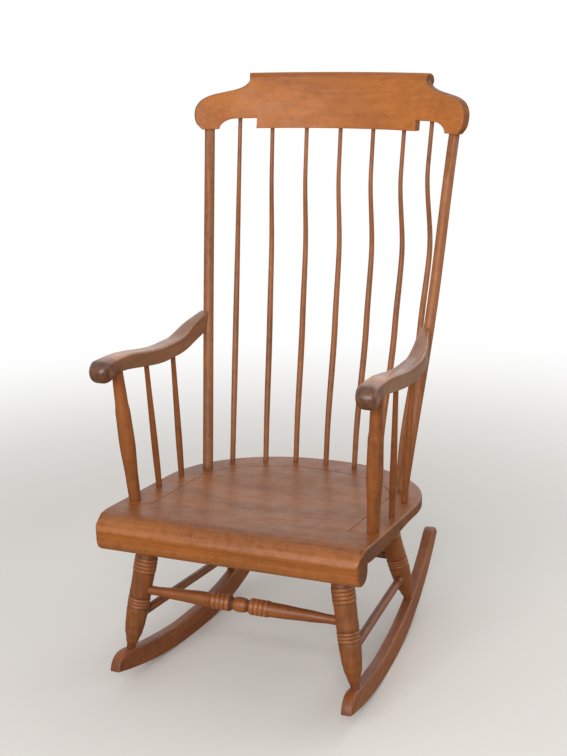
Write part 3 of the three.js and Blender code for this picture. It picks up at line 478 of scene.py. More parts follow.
def crest_point(x, z, depth=0.0):
    bow = sqrt((CREST_BOW_RADIUS + depth) ** 2 - x * x) - CREST_BOW_RADIUS
    climb = (z - CREST_BOTTOM + bow * sin(CREST_LEAN)) / cos(CREST_LEAN)
    y = back_curve(0, "feet", BACK_INSET) + BACK_RAKE + bow * cos(CREST_LEAN) + climb * sin(CREST_LEAN)
    return Vector((x, y, z))


def outward(x):
    return Vector((x, sqrt(CREST_BOW_RADIUS ** 2 - x * x), 0)).normalized()


def crest_square(x, z, depth):
    """The same surface, with the depth measured square to the board instead of straight back."""
    return crest_point(x * (1 + depth / CREST_BOW_RADIUS), z, depth)


print("crest foot at", [round(value, 4) for value in crest_point(0, CREST_BOTTOM)])

# %% [markdown]
# Seven slim spindles, steam-bent in a slow S: hollow for the sitter's back, then forward to the crest. A
# bent stick keeps its round section, so its rings are pushed sideways rather than sheared.

# %% Back spindles
SPINDLE_RADIUS = 0.00625
SPINDLE_STEPS, SPINDLE_SIDES = 64, 20
SPINDLE_TENON = 0.01
SPINDLE_FEET = [0, 0.249, 0.478, 0.695]
SPINDLE_TOPS = [0, 0.252, 0.496, 0.718]
SPINDLE_KNOTS = [(0, 0.88), (0.3, 1), (1, 0.66)]
SPINDLE_BENDS = [(0, 0), (0.08, 0), (0.43, 0.78), (0.63, 1), (0.88, 0), (1, 0)]
MIDDLE_BEND, OUTER_BEND = 0.022, 0.029


def bending(base, top, depth, knots):
    length = (top - base).length
    way = outward(top.x)

    def move(height):
        share = min(1, max(0, height / length))
        return way * (depth * eased(knots, share))
    return move


def make_back_spindles():
    for place in range(-3, 4):
        side = (place > 0) - (place < 0)
        foot = side * SPINDLE_FEET[abs(place)] * HALF_SEAT
        across = SPINDLE_TOPS[abs(place)]
        height = CREST_BOTTOM + (CREST_ARCH_RISE if across > ARCH_START else 0)
        base = deck_point(foot, back_curve(foot, "feet", BACK_INSET))
        top = crest_point(side * across * HALF_CREST, height)
        depth = mix(MIDDLE_BEND, OUTER_BEND, (place / 3) ** 2)
        length = (top - base).length
        rows = smooth_profile(length, SPINDLE_RADIUS, SPINDLE_KNOTS, SPINDLE_STEPS, SPINDLE_TENON)
        shape = turned(base, top, rows, SPINDLE_SIDES, bending(base, top, depth, SPINDLE_BENDS))
        add_piece(f"back_spindle_{place + 4}", shape, "back_wood")


make_back_spindles()
print("pieces:", len(pieces))

# %% [markdown]
# The two back posts are thicker. Under the crest their fronts are planed flat, so that they meet the board
# flush. The flat is cut by pressing the front of each ring back to a line, which runs out in a curve.

# %% Back posts
POST_RADIUS = 0.0105
POST_KNOTS, POST_STEPS, POST_SIDES = [(0, 1), (1, 0.98)], 72, 36
POST_BEND = 0.007
POST_FLAT_DEPTH = 0.0035
POST_FLAT_LENGTH = 0.084
POST_FLAT_RUNOUT = 0.016
POST_FOOT, POST_TOP, POST_PLACE = 0.804, 0.908, 0.694
POST_BENDS = [(0, 0), (0.5, 1), (1, 0)]
HANDS = {"left": 1, "right": -1}


def post_ends(side):
    base = deck_point(side * POST_FOOT * HALF_SEAT, along_seat(POST_PLACE))
    return base, crest_point(side * POST_TOP * HALF_CREST, CREST_BOTTOM)


def post_point(side, z):
    base, top = post_ends(side)
    share = (z - base.z) / (top.z - base.z)
    return base.lerp(top, share) + outward(top.x) * (POST_BEND * eased(POST_BENDS, share))


def make_back_post(hand):
    base, top = post_ends(HANDS[hand])
    length = (top - base).length
    front = -outward(top.x)

    def planed(height, offset):
        run = min(1, max(0, (height - length + POST_FLAT_LENGTH) / POST_FLAT_RUNOUT))
        face = POST_RADIUS - POST_FLAT_DEPTH * (1 - (1 - run) ** 2)
        over = offset.dot(front) - face
        return offset - front * over if over > 0 else offset

    rows = smooth_profile(length, POST_RADIUS, POST_KNOTS, POST_STEPS, 0)
    shape = turned(base, top, rows, POST_SIDES, bending(base, top, POST_BEND, POST_BENDS), planed)
    add_piece(f"back_post_{hand}", shape, "back_wood")


for hand in HANDS:
    make_back_post(hand)
print("pieces:", len(pieces))

# %% [markdown]
# The crest rail starts flat, as the board did: its outline is drawn from the front and given thickness, and
# its sharp edges are eased. It is then sliced every few millimetres and each point is laid on the bowed
# surface. Bending after easing keeps the rounded edge the same width all the way round.

# %% Crest outline
EAR = [(0.957, 0), (0.992, 0.12), (1.004, 0.27), (0.998, 0.41), (0.968, 0.53), (0.912, 0.61), (0.83, 0.662),
       (0.755, 0.705), (0.707, 0.758), (0.681, 0.82), (0.668, 0.876)]
CREST_EDGE = 0.0022
# CREST_MIDDLE_DARK is painted shade that darkens the crest towards its middle and all along its roll.
CREST_MIDDLE_DARK = 0.16
CREST_BOARD = 0.0165
CREST_SLICE = 0.008
ARCH_STEPS, EAR_STEPS = 12, 6


def spline_through(knots, steps):
    """A smooth line through every knot, by the Catmull-Rom rule."""
    rows = []
    for index in range(len(knots) - 1):
        before = Vector(knots[max(index - 1, 0)])
        start, end = Vector(knots[index]), Vector(knots[index + 1])
        after = Vector(knots[min(index + 2, len(knots) - 1)])
        for step in range(steps):
            t = step / steps
            rows.append(0.5 * (2 * start + (end - before) * t
                               + (2 * before - 5 * start + 4 * end - after) * t * t
                               + (3 * start - before - 3 * end + after) * t ** 3))
    rows.append(Vector(knots[-1]))
    return rows


def crest_outline():
    """Half of it runs from the middle of the foot to the ear and the roll, and the rest is its mirror."""
    half = [(0, 0), (ARCH_START * HALF_CREST, 0), (ARCH_START * HALF_CREST, CREST_ARCH_RISE)]
    for step in range(ARCH_STEPS + 1):
        turn = pi / 2 * (1 - step / ARCH_STEPS)
        across = ARCH_END + (ARCH_FOOT - ARCH_END) * cos(turn)
        half.append((across * HALF_CREST, CREST_ARCH_RISE * sin(turn)))
    half += [(row.x * HALF_CREST, row.y * CREST_HEIGHT) for row in spline_through(EAR, EAR_STEPS)]
    tucked = CREST_HEIGHT - CREST_ROLL_RADIUS + CREST_EDGE
    half += [(EAR[-1][0] * HALF_CREST, tucked), (0, tucked)]
    return half + [(-x, z) for x, z in reversed(half) if x > 0]


outline = crest_outline()
print("crest outline points:", len(outline))


# %% Boards
EDGE_SEGMENTS = 3


def sliced(shape, low, high, pitch):
    """Cuts a board across its length, so that it can be bent."""
    steps = int((high - low) / pitch) + 1
    along = Vector((1, 0, 0))
    for step in range(1, steps):
        spot = along * (low + (high - low) * step / steps)
        everything = shape.verts[:] + shape.edges[:] + shape.faces[:]
        bmesh.ops.bisect_plane(shape, geom=everything, plane_co=spot, plane_no=along, dist=1e-6)


def eased_board(outline, depth, edge):
    """A flat board from its outline, with its long edges rounded."""
    shape = bmesh.new()
    front = [shape.verts.new((u, -depth / 2, v)) for u, v in outline]
    back = [shape.verts.new((u, depth / 2, v)) for u, v in outline]
    shape.faces.new(front)
    shape.faces.new(list(reversed(back)))
    for index in range(len(outline)):
        after = (index + 1) % len(outline)
        shape.faces.new((front[index], back[index], back[after], front[after]))
    bmesh.ops.recalc_face_normals(shape, faces=shape.faces)
    rims = [item for item in shape.edges if abs(item.verts[0].co.y - item.verts[1].co.y) < edge / 9]
    bmesh.ops.bevel(shape, geom=rims, offset=edge, segments=EDGE_SEGMENTS, profile=0.5, affect="EDGES",
                    clamp_overlap=True)
    return shape


def finish_board(board, place, tone):
    """Lays every point where it belongs, and gives it its wear and grime."""
    wear_and_sheen, grime_and_shade = zip(*(tone(item.co) for item in board.verts))
    points = [place(item.co) for item in board.verts]
    board.verts.index_update()
    faces = [tuple(corner.index for corner in face.verts) for face in board.faces]
    board.free()
    return points, faces, list(wear_and_sheen), list(grime_and_shade)


def edge_wear(co, depth, edge, face, rim):
    """How deep a point is in a board's side, and the wear along the board's rounded edges."""
    from_face = depth / 2 - abs(co.y)
    at_edge = max(0.0, 1 - abs(from_face - edge / 3) / edge)
    return min(1, from_face / edge), mix(face, rim, at_edge)


print("board edges are rounded in", EDGE_SEGMENTS, "steps")

# %% Crest rail
CREST_FACE_WEAR, CREST_RIM_WEAR = 0.1, 0.3


def crest_shape():
    board = eased_board(outline, CREST_BOARD, CREST_EDGE)
    sliced(board, -HALF_CREST, HALF_CREST, CREST_SLICE)

    def place(co):
        return crest_square(co.x, CREST_BOTTOM + co.z, (CREST_BOARD - CREST_THICKNESS) / 2 + co.y)

    # The board's sides are painted dark: end grain at the ears, and painted shade along its lower edges.
    # Painted shade also darkens the middle.
    def tone(co):
        deep, worn_and_lit = edge_wear(co, CREST_BOARD, CREST_EDGE, CREST_FACE_WEAR, CREST_RIM_WEAR)
        return worn_and_lit, max(deep ** 2, CREST_MIDDLE_DARK * (1 - (co.x / HALF_CREST) ** 2))

    return finish_board(board, place, tone)


# The roll is a rod with eased ends, swept along the top of the board with its front flush with the board's.
ROLL_END, ROLL_END_DARK = 0.67, 0.9
ROLL_STEPS, ROLL_SIDES = 72, 32
ROLL_EASE, ROLL_EASE_STEPS = 0.0025, 4
ROLL_HOLLOW, ROLL_HOLLOW_SHARE = 0.0006, 0.45


def roll_centre(x):
    height = CREST_BOTTOM + CREST_HEIGHT - CREST_ROLL_RADIUS
    return crest_point(x, height) + outward(x) * (CREST_ROLL_RADIUS - CREST_THICKNESS / 2)


def roll_shape():
    end = ROLL_END * HALF_CREST
    rim = [(-end + ROLL_HOLLOW, CREST_ROLL_RADIUS * ROLL_HOLLOW_SHARE)]
    for step in range(ROLL_EASE_STEPS + 1):
        turn = pi / 2 * step / ROLL_EASE_STEPS
        rim.append((-end + ROLL_EASE * (1 - cos(turn)), CREST_ROLL_RADIUS - ROLL_EASE * (1 - sin(turn))))
    middle = [(mix(-end, end, step / ROLL_STEPS), CREST_ROLL_RADIUS) for step in range(1, ROLL_STEPS)]
    angles = [2 * pi * turn / ROLL_SIDES for turn in range(ROLL_SIDES)]
    up = Vector((0, 0, 1))
    rows = []
    for x, radius in rim + middle + [(-x, radius) for x, radius in reversed(rim)]:
        out, centre = outward(x), roll_centre(x)
        at_end = (CREST_ROLL_RADIUS - radius) / ROLL_EASE
        worn_and_lit = 0.0 if at_end > 0 else CREST_FACE_WEAR
        # The roll's ends are dark end grain, and the rest of it takes the crest's painted middle shade.
        dirty_and_shaded = max(ROLL_END_DARK * min(1, at_end), CREST_MIDDLE_DARK)
        ring = [centre + (out * cos(angle) + up * sin(angle)) * radius for angle in angles]
        rows.append([(point, worn_and_lit, dirty_and_shaded) for point in ring])
    return lofted(rows)


def joined(*shapes):
    points, faces, wear_and_sheen, grime_and_shade = [], [], [], []
    for shape in shapes:
        faces += [tuple(index + len(points) for index in face) for face in shape[1]]
        points += shape[0]
        wear_and_sheen += shape[2]
        grime_and_shade += shape[3]
    return points, faces, wear_and_sheen, grime_and_shade


crest = add_piece("crest_rail", joined(crest_shape(), roll_shape()), "crest_wood")
print("crest faces:", len(crest.data.polygons))

# %% [markdown]
# The seat is one wide plank. Its top is a net of spokes and rings: the spokes run from the middle of the
# seat to its edge, and one set of rings follows the shallow groove that is carved round the sitting area. A
# net laid this way needs few points on the flat parts, and puts them where the groove, the edge and the
# brow turn.

# %% Seat lines
SEAT_FRONT = along_seat(0)
SHOULDER = along_seat(0.1)
FRONT_NARROWING = 0.006
CORNER_RADIUS = 0.006
GROOVE_HALF = 0.197
GROOVE_ROUND = 0.143
GROOVE_TURN = REST_Y + 0.022
GROOVE_END = REST_Y - 0.192
GROOVE_CLOSE = REST_Y - 0.215
SCORE_OUT = REST_Y - 0.203
GROOVE_CORNER = 0.02
SCORE_HALF = 0.0009
NET_MIDDLE = Vector((0, REST_Y - 0.04))
FRONT_SPOKES, CORNER_SPOKES, SIDE_SPOKES, BACK_SPOKES = 15, 8, 12, 36
SIDE_SHARES = (0.25, 0.5, 0.75, 0.94)


def side_half(y):
    """Half the seat's width along its straight sides, which draw in towards the front."""
    if y >= SHOULDER:
        return HALF_SEAT
    return HALF_SEAT - FRONT_NARROWING * (SHOULDER - y) / (SHOULDER - SEAT_FRONT)


def half_spokes():
    """Spokes of the sitter's left half, from the middle of the front to the middle of the back. Each has a
    point at the groove, a point at the edge, and whether a line is scored along it."""
    rows = []

    def spoke(inner_x, inner_y, outer_x, outer_y, scored=False):
        rows.append((Vector((inner_x, inner_y)), Vector((outer_x, outer_y)), scored))

    inner_corner = GROOVE_HALF - GROOVE_CORNER
    corner = Vector((HALF_SEAT - FRONT_NARROWING - CORNER_RADIUS, SEAT_FRONT + CORNER_RADIUS))
    for step in range(FRONT_SPOKES + 1):
        share = step / FRONT_SPOKES
        spoke(inner_corner * share, GROOVE_CLOSE, corner.x * share, SEAT_FRONT)
    for step in range(1, CORNER_SPOKES + 1):
        turn = pi / 2 * (step / CORNER_SPOKES)
        outer = corner + CORNER_RADIUS * Vector((sin(turn), -cos(turn)))
        inner_y = GROOVE_CLOSE + GROOVE_CORNER * (1 - cos(turn))
        spoke(inner_corner + GROOVE_CORNER * sin(turn), inner_y, *outer)
    for share in SIDE_SHARES:
        y = mix(corner.y, SCORE_OUT, share)
        spoke(GROOVE_HALF, mix(GROOVE_CLOSE + GROOVE_CORNER, GROOVE_END, share), side_half(y), y)
    for step in (-1, 0, 1):
        y = SCORE_OUT + step * SCORE_HALF
        spoke(GROOVE_HALF, GROOVE_END + step * SCORE_HALF, side_half(SCORE_OUT), y, step == 0)
    curve_start = along_seat(CURVE_START["edge"])
    for step in range(1, SIDE_SPOKES + 1):
        share = step / SIDE_SPOKES
        y = mix(SCORE_OUT + SCORE_HALF, curve_start, share)
        spoke(GROOVE_HALF, mix(GROOVE_END + SCORE_HALF, GROOVE_TURN, share), side_half(y), y)
    for step in range(1, BACK_SPOKES + 1):
        turn = pi / 2 * step / BACK_SPOKES
        power = 2 / SQUARENESS["edge"]
        y = curve_start + (along_seat(1) - curve_start) * sin(turn) ** power
        spoke(GROOVE_HALF * cos(turn), GROOVE_TURN + GROOVE_ROUND * sin(turn),
              HALF_SEAT * max(0, cos(turn)) ** power, y)
    return rows


def mirrored_spoke(inner, outer, scored):
    return Vector((-inner.x, inner.y)), Vector((-outer.x, outer.y)), scored


left_half = half_spokes()
spokes = left_half + [mirrored_spoke(*row) for row in reversed(left_half[1:-1])]
print("seat spokes:", len(spokes))

# %% [markdown]
# The height of the seat's top is one sum: a sloping plank, a shallow bowl in the middle, and a brow that
# drops away over the last four centimetres in front. The groove and the scored lines are cut into that. The
# plank is paler where it is rubbed, and a painted highlight lies as a pale band along the brow. It is dark in
# the groove and on the end grain at its sides, which drinks more stain, and painted shade darkens its
# underside.

# %% Seat surface
DISH_DEPTH = 0.006
DISH_MIDDLE = along_seat(0.44)
DISH_HALF = HALF_SEAT * 0.725
DISH_LONG = SEAT_DEPTH * 0.39
BROW_RUN, BROW_DROP = 0.043, 0.032
UNDER_RISE, UNDER_RUN = 0.008, 0.013
FRONT_EXTRA = 0.0025
BEVEL_FADE = [(0.2, 0), (0.52, 1)]
END_GRAIN, END_GRAIN_START, END_GRAIN_GAIN = 0.55, 0.3, 1.6
GROOVE_WIDTH, GROOVE_DEPTH = 0.0026, 0.0012
GROOVE_DARK = 0.5
# BROW_PAINTED_HIGHLIGHT is a painted highlight: a pale band along the brow, laid on as wear.
BROW_PAINTED_HIGHLIGHT = 0.16
SEAT_EDGE = 0.0035
EDGE_STEPS = 5
SEAT_WEAR, SEAT_MIDDLE_WEAR, SEAT_EDGE_WEAR = 0.22, 0.3, 0.5
# UNDER_DARK is painted shade under the plank.
SCORE_SHARE, SCORE_DARK, UNDER_DARK = 0.7, 0.5, 0.2


def brow(y):
    run = min(1, max(0, (SEAT_FRONT + BROW_RUN - y) / BROW_RUN))
    return BROW_DROP * (1 - sqrt(max(0, 1 - run * run)))


def seat_top(x, y):
    away = (x / DISH_HALF) ** 2 + ((y - DISH_MIDDLE) / DISH_LONG) ** 2
    dish = DISH_DEPTH * max(0, 1 - away) ** 1.5
    return deck_height(y) - dish - brow(y)


def bevel_share(y):
    return eased(BEVEL_FADE, (y - SEAT_FRONT) / SEAT_DEPTH)


def underside(y):
    return deck_height(y) - PLANK - FRONT_EXTRA * (1 - bevel_share(y))


def end_grain(outer):
    """How far a point of the edge shows end grain: none in front, more towards the sides."""
    beside_front = min(1, max(0, (outer.y - SEAT_FRONT) / CORNER_RADIUS))
    sideways = max(0, abs(outer.x) / HALF_SEAT - END_GRAIN_START)
    return END_GRAIN * beside_front * min(1, END_GRAIN_GAIN * sideways)


print("dish:", DISH_DEPTH, "brow:", BROW_DROP)

# %% Seat plank
RINGS_IN, GROOVE_RINGS, RINGS_OUT = 9, (-1, -0.5, 0, 0.5, 1), 12
CARVED_FROM = GROOVE_END - 0.001
FRONT_STEEP, FRONT_THINNING = 1.6, 0.75
UNDER_MIDDLE, UNDER_SHARES = Vector((0, along_seat(0.5))), (1, 0.75, 0.4)


def top_row(kind, share):
    """One ring of the top: inside the groove, in it, or outside it."""
    row = []
    for inner, outer, scored in spokes:
        way = (outer - inner).normalized()
        depth = 0.0
        if kind == "inside":
            spot = NET_MIDDLE.lerp(inner - (inner - NET_MIDDLE).normalized() * GROOVE_WIDTH, share)
        elif kind == "groove":
            spot = inner + way * (share * GROOVE_WIDTH / 2)
            depth = GROOVE_DEPTH * (1 - share * share) if inner.y > CARVED_FROM else 0.0
        else:
            spot = (inner + way * GROOVE_WIDTH / 2).lerp(outer - way * SEAT_EDGE, share)
            depth = GROOVE_DEPTH * SCORE_SHARE if scored else 0.0
        rolled = brow(spot.y) / BROW_DROP
        # Wear, plus a painted highlight along the brow.
        worn_and_lit = SEAT_WEAR + BROW_PAINTED_HIGHLIGHT * 4 * rolled * (1 - rolled)
        dirty_and_shaded = GROOVE_DARK * min(1, depth / GROOVE_DEPTH)
        row.append((Vector((*spot, seat_top(*spot) - depth)), worn_and_lit if depth == 0 else 0, dirty_and_shaded))
    return row


def edge_row(step):
    """One ring of the rounded edge, which is sharper in front, where the brow is already steep."""
    turn = pi / 2 * step / EDGE_STEPS
    row = []
    for inner, outer, scored in spokes:
        steep = min(1, brow(outer.y) / BROW_DROP * FRONT_STEEP)
        edge = SEAT_EDGE * (1 - FRONT_THINNING * steep)
        spot = outer - (outer - inner).normalized() * (edge * (1 - sin(turn)))
        height = seat_top(*spot) - edge * (1 - cos(turn))
        dirty_and_shaded = max(end_grain(outer) * (step / EDGE_STEPS) ** 2, SCORE_DARK if scored else 0)
        row.append((Vector((*spot, height)), SEAT_EDGE_WEAR * (1 - step / EDGE_STEPS), dirty_and_shaded))
    return row


def side_row():
    """The foot of the plank's side, above the bevel that is cut back under it."""
    row = []
    for _, outer, _ in spokes:
        low = underside(outer.y) + UNDER_RISE * bevel_share(outer.y)
        row.append((Vector((*outer, min(low, seat_top(*outer) - SEAT_EDGE))), 0, end_grain(outer)))
    return row


def under_row(share):
    row = []
    for _, outer, _ in spokes:
        spot = UNDER_MIDDLE + (outer - UNDER_MIDDLE) * (1 - UNDER_RUN / HALF_SEAT) * share
        dirty_and_shaded = end_grain(outer) if share == 1 else UNDER_DARK
        row.append((Vector((*spot, underside(spot.y))), 0, dirty_and_shaded))
    return row


def make_plank():
    """Rings from the middle of the top out to the edge and back under it, with a fan at each end."""
    rows = [top_row("inside", step / RINGS_IN) for step in range(1, RINGS_IN)]
    rows += [top_row("groove", offset) for offset in GROOVE_RINGS]
    rows += [top_row("outside", sin(pi / 2 * step / RINGS_OUT)) for step in range(1, RINGS_OUT)]
    rows += [edge_row(step) for step in range(EDGE_STEPS + 1)]
    rows += [side_row()] + [under_row(share) for share in UNDER_SHARES]
    shape = lofted(rows, ends=False)
    size = len(spokes)
    ends = ((0, Vector((*NET_MIDDLE, seat_top(*NET_MIDDLE))), SEAT_MIDDLE_WEAR, 0),
            (len(shape[0]) - size, Vector((*UNDER_MIDDLE, underside(UNDER_MIDDLE.y))), 0, UNDER_DARK))
    for start, point, worn_and_lit, dirty_and_shaded in ends:
        hub = add_point(shape, point, worn_and_lit, dirty_and_shaded)
        shape[1].extend((start + index, start + (index + 1) % size, hub) for index in range(size))
    return shape


plank_shape = make_plank()
print("plank points:", len(plank_shape[0]))

# %% [markdown]
# The nose is a thick strip glued under the front of the plank and rounded with it, so that the front edge
# rolls under the sitter's knees. Its section is swept from end to end, and follows the plank's rounded
# corners.

# %% Seat nose
NOSE_DROP, NOSE_THICKNESS = 0.069, 0.048
NOSE_HIDE, NOSE_LAP = 0.00012, 0.0008
NOSE_EASE, NOSE_LIFT = 0.004, 0.4
NOSE_ROUND_STEPS, NOSE_CORNER_STEPS, NOSE_STEPS = 24, 6, 20
NOSE_WEAR, NOSE_FOOT_WEAR, NOSE_FACE_WEAR = 0.35, 0.25, 0.2


def nose_section():
    """Places behind the front face, and heights, from the back of the nose round its foot to the plank."""
    radius = NOSE_THICKNESS / 2
    low = deck_height(SEAT_FRONT) - NOSE_DROP + radius
    high = deck_height(SEAT_FRONT) - BROW_DROP - NOSE_LAP
    rows = [(NOSE_THICKNESS, high, 0.0), (NOSE_THICKNESS, mix(high, low, 0.5), 0.0)]
    for step in range(NOSE_ROUND_STEPS + 1):
        turn = pi * step / NOSE_ROUND_STEPS
        worn_and_lit = NOSE_WEAR + NOSE_FOOT_WEAR * sin(turn)
        rows.append((radius + radius * cos(turn), low - radius * sin(turn), worn_and_lit))
    rows += [(0, mix(low, high, share), NOSE_FACE_WEAR) for share in (0.25, 0.5, 0.75, 1)]
    for step in range(1, 12):
        behind = NOSE_THICKNESS * (1 - cos(pi / 2 * step / 12))
        y = SEAT_FRONT + behind
        rows.append((behind, deck_height(y) - brow(y) - NOSE_LAP, 0.0))
    return rows


def make_nose():
    front_half = HALF_SEAT - FRONT_NARROWING - NOSE_HIDE
    section = nose_section()
    low = min(height for _, height, _ in section)
    stations = []
    for step in range(NOSE_CORNER_STEPS + 1):
        turn = pi / 2 * step / NOSE_CORNER_STEPS
        stations.append((front_half - CORNER_RADIUS * (1 - cos(turn)), CORNER_RADIUS * (1 - sin(turn))))
    straight = front_half - CORNER_RADIUS
    stations += [(mix(straight, 0, step / NOSE_STEPS), 0) for step in range(1, NOSE_STEPS + 1)]
    rows = []
    for x, back in stations + [(-x, back) for x, back in reversed(stations[:-1])]:
        at_end = back / CORNER_RADIUS
        row = []
        for behind, height, worn_and_lit in section:
            front_pull = back * max(0, 1 - behind / (NOSE_THICKNESS / 2))
            lift = back * NOSE_LIFT * max(0, 1 - (height - low) / NOSE_EASE)
            spot = Vector((x, SEAT_FRONT + NOSE_HIDE + behind + front_pull, height + lift))
            row.append((spot, worn_and_lit * (1 - at_end), END_GRAIN * at_end ** 2))
        rows.append(row)
    return lofted(rows)


seat = add_piece("seat", joined(plank_shape, make_nose()), "seat_wood", "seat_wood_plank")
print("seat faces:", len(seat.data.polygons))

# %% [markdown]
# Each arm is one bent-looking board: a flat top, a dip in the middle, a sweep up to the post and a knuckle
# that rolls under in front. Its side view is drawn as a loop. The loop is then carried across the arm in
# layers, and the outer layers are drawn in to round the edges: a little along the arm, and a lot at the
# knuckle. Hands leave the front of a knuckle dark and rub the arm bright just behind it. Both rear ends
# lean a little to the same side, since the real pair is not a perfect mirror.

# %% Arm lines
ARM_HEIGHT, ARM_RISE = 0.576, 0.032
ARM_THICKNESS, ARM_WIDTH = 0.028, 0.037
KNUCKLE_RADIUS = 0.0205
KNUCKLE_WRAP = radians(325)
KNUCKLE_Y = along_seat(0.094) + 0.003
ARM_END = post_point(1, ARM_HEIGHT + ARM_RISE)
ARM_DIP = [(0, 0.64), (0.08, 0.64), (0.55, 0), (0.66, 0), (1.08, 0.72)]
ARM_DEPTH = [(0, 1), (0.66, 1), (0.9, 1.26), (1, 1.3)]
ARM_BREADTH = [(0, 1), (0.42, 0.92), (0.72, 0.86), (1, 0.52)]
ARM_OUTWARD = [(0, -0.0015), (0.4, 0.0015), (0.8, 0.0055), (1, 0.0015)]
ARM_TOP_END, ARM_UNDER_END = 0.998, 0.978
ARM_FULLNESS = [(0.05, 0), (0.3, 0.0025), (0.85, 0.003), (1, 0.001)]
ARM_STRAIGHT, KNUCKLE_ACROSS = 0.69, 0.977
ARM_EDGE, ARM_LOW_EDGE = 0.0045, 0.003
KNUCKLE_EDGE, KNUCKLE_REACH = 0.0125, 0.0155
KNUCKLE_HEEL, KNUCKLE_GAP = 0.028, 0.003
KNUCKLE_FADE = 0.26
OUTER_ROUNDING = 0.7
KNUCKLE_ROUNDING = [(0, 0.3), (0.3, 0.85), (0.45, 1), (1, 1)]
ARM_EDGES = [(0, ARM_EDGE), (0.7, ARM_EDGE), (1, 0.002)]
ARM_ASKEW = [(0.65, 0), (1, -0.005)]
ARM_STEPS, CURL_STEPS, ACROSS_STEPS = 44, 40, 6
HAND_PATCH, HAND_DARK = [(-0.05, 1), (0.15, 0)], 0.95
ARM_RUBBED = [(-0.04, 0), (0.12, 1), (0.26, 0.75), (0.5, 0.12), (1, 0)]
ARM_WEAR, ARM_EDGE_WEAR, ARM_RUBBED_WEAR, ARM_SIDE_WEAR, RUBBED_CLEAN = 0.15, 0.4, 0.8, 0.5, 0.9


def arm_share(y):
    return (y - KNUCKLE_Y) / (ARM_END.y - KNUCKLE_Y)


def arm_centre(share):
    run = ARM_STRAIGHT * share + (1 - ARM_STRAIGHT) * max(0, share) ** 4
    return mix(KNUCKLE_ACROSS * HALF_SEAT, ARM_END.x, run) + eased(ARM_OUTWARD, share)


def arm_underside(share):
    return ARM_HEIGHT + ARM_RISE * eased(ARM_DIP, share)


def arm_half(share):
    return ARM_WIDTH / 2 * eased(ARM_BREADTH, max(0, share))


print("arm from", round(KNUCKLE_Y, 4), "to", round(ARM_END.y, 4))


# %% Arm side view
def arm_loop():
    """The side view: the top from the post forward, the curl of the knuckle, and the underside going back."""
    length = ARM_END.y - KNUCKLE_Y
    top, curl, under = [], [], []
    for step in range(ARM_STEPS):
        share = ARM_TOP_END * (1 - step / ARM_STEPS)
        height = arm_underside(share) + ARM_THICKNESS * eased(ARM_DEPTH, share)
        rounding = KNUCKLE_ROUNDING[0][1] * eased([(0, 1), (KNUCKLE_FADE, 0)], share)
        top.append((Vector((KNUCKLE_Y + share * length, height)), rounding))
    middle = Vector((KNUCKLE_Y, arm_underside(0) + ARM_THICKNESS - KNUCKLE_RADIUS))
    for step in range(CURL_STEPS + 1):
        share = step / CURL_STEPS
        turn = pi / 2 + (KNUCKLE_WRAP - pi / 2) * share
        reach = KNUCKLE_HEEL if turn > 1.5 * pi else KNUCKLE_RADIUS
        spot = middle + Vector((reach * cos(turn), KNUCKLE_RADIUS * sin(turn)))
        curl.append((spot, eased(KNUCKLE_ROUNDING, share)))
    for step in range(ARM_STEPS + 1):
        share = ARM_UNDER_END * step / ARM_STEPS
        y = KNUCKLE_Y + share * length
        if y < curl[-1][0].x + KNUCKLE_GAP:
            continue
        height = arm_underside(share) - eased(ARM_FULLNESS, share)
        under.append((Vector((y, height)), eased([(0, 1), (KNUCKLE_FADE / 2, 0)], share)))
    return top, curl, under, middle


print("arm loop points:", sum(len(part) for part in arm_loop()[:3]))


# %% Arm skin
def arm_rows(side, loop, under_start):
    """The loop in layers across the arm, from its inner side to its outer one."""
    layers = [(-1, pi / 2 * (1 - step / ACROSS_STEPS)) for step in range(ACROSS_STEPS + 1)]
    layers += [(0, 0)] + [(1, pi / 2 * step / ACROSS_STEPS) for step in range(ACROSS_STEPS + 1)]
    rows = []
    for way, turn in layers:
        row = []
        for index, (spot, rounding) in enumerate(loop):
            along = loop[min(index + 1, len(loop) - 1)][0] - loop[max(index - 1, 0)][0]
            along.normalize()
            plain_edge = eased(ARM_EDGES, max(0, arm_share(spot.x)))
            if index >= under_start:
                plain_edge = min(plain_edge, ARM_LOW_EDGE)
            rounding *= 1 if way < 0 else OUTER_ROUNDING
            edge = mix(plain_edge, KNUCKLE_EDGE, rounding)
            side_edge = mix(plain_edge, KNUCKLE_REACH, rounding)
            spot = spot + Vector((-along.y, along.x)) * edge * (1 - cos(turn))
            share = arm_share(spot.x)
            half = arm_half(share)
            reach = max(0, half - side_edge) + min(side_edge, half) * sin(turn)
            across = side * (arm_centre(share) + way * reach) + eased(ARM_ASKEW, share)
            rubbed_and_lit = max(0, -along.x) ** 2 * cos(turn) ** 2 * eased(ARM_RUBBED, share)
            worn_and_lit = min(1, ARM_WEAR + ARM_EDGE_WEAR * sin(turn) * cos(turn) + ARM_RUBBED_WEAR * rubbed_and_lit)
            dirty_and_shaded = HAND_DARK * eased(HAND_PATCH, share) * (1 - RUBBED_CLEAN * rubbed_and_lit)
            row.append((Vector((across, *spot)), worn_and_lit, dirty_and_shaded))
        rows.append(row)
    return rows


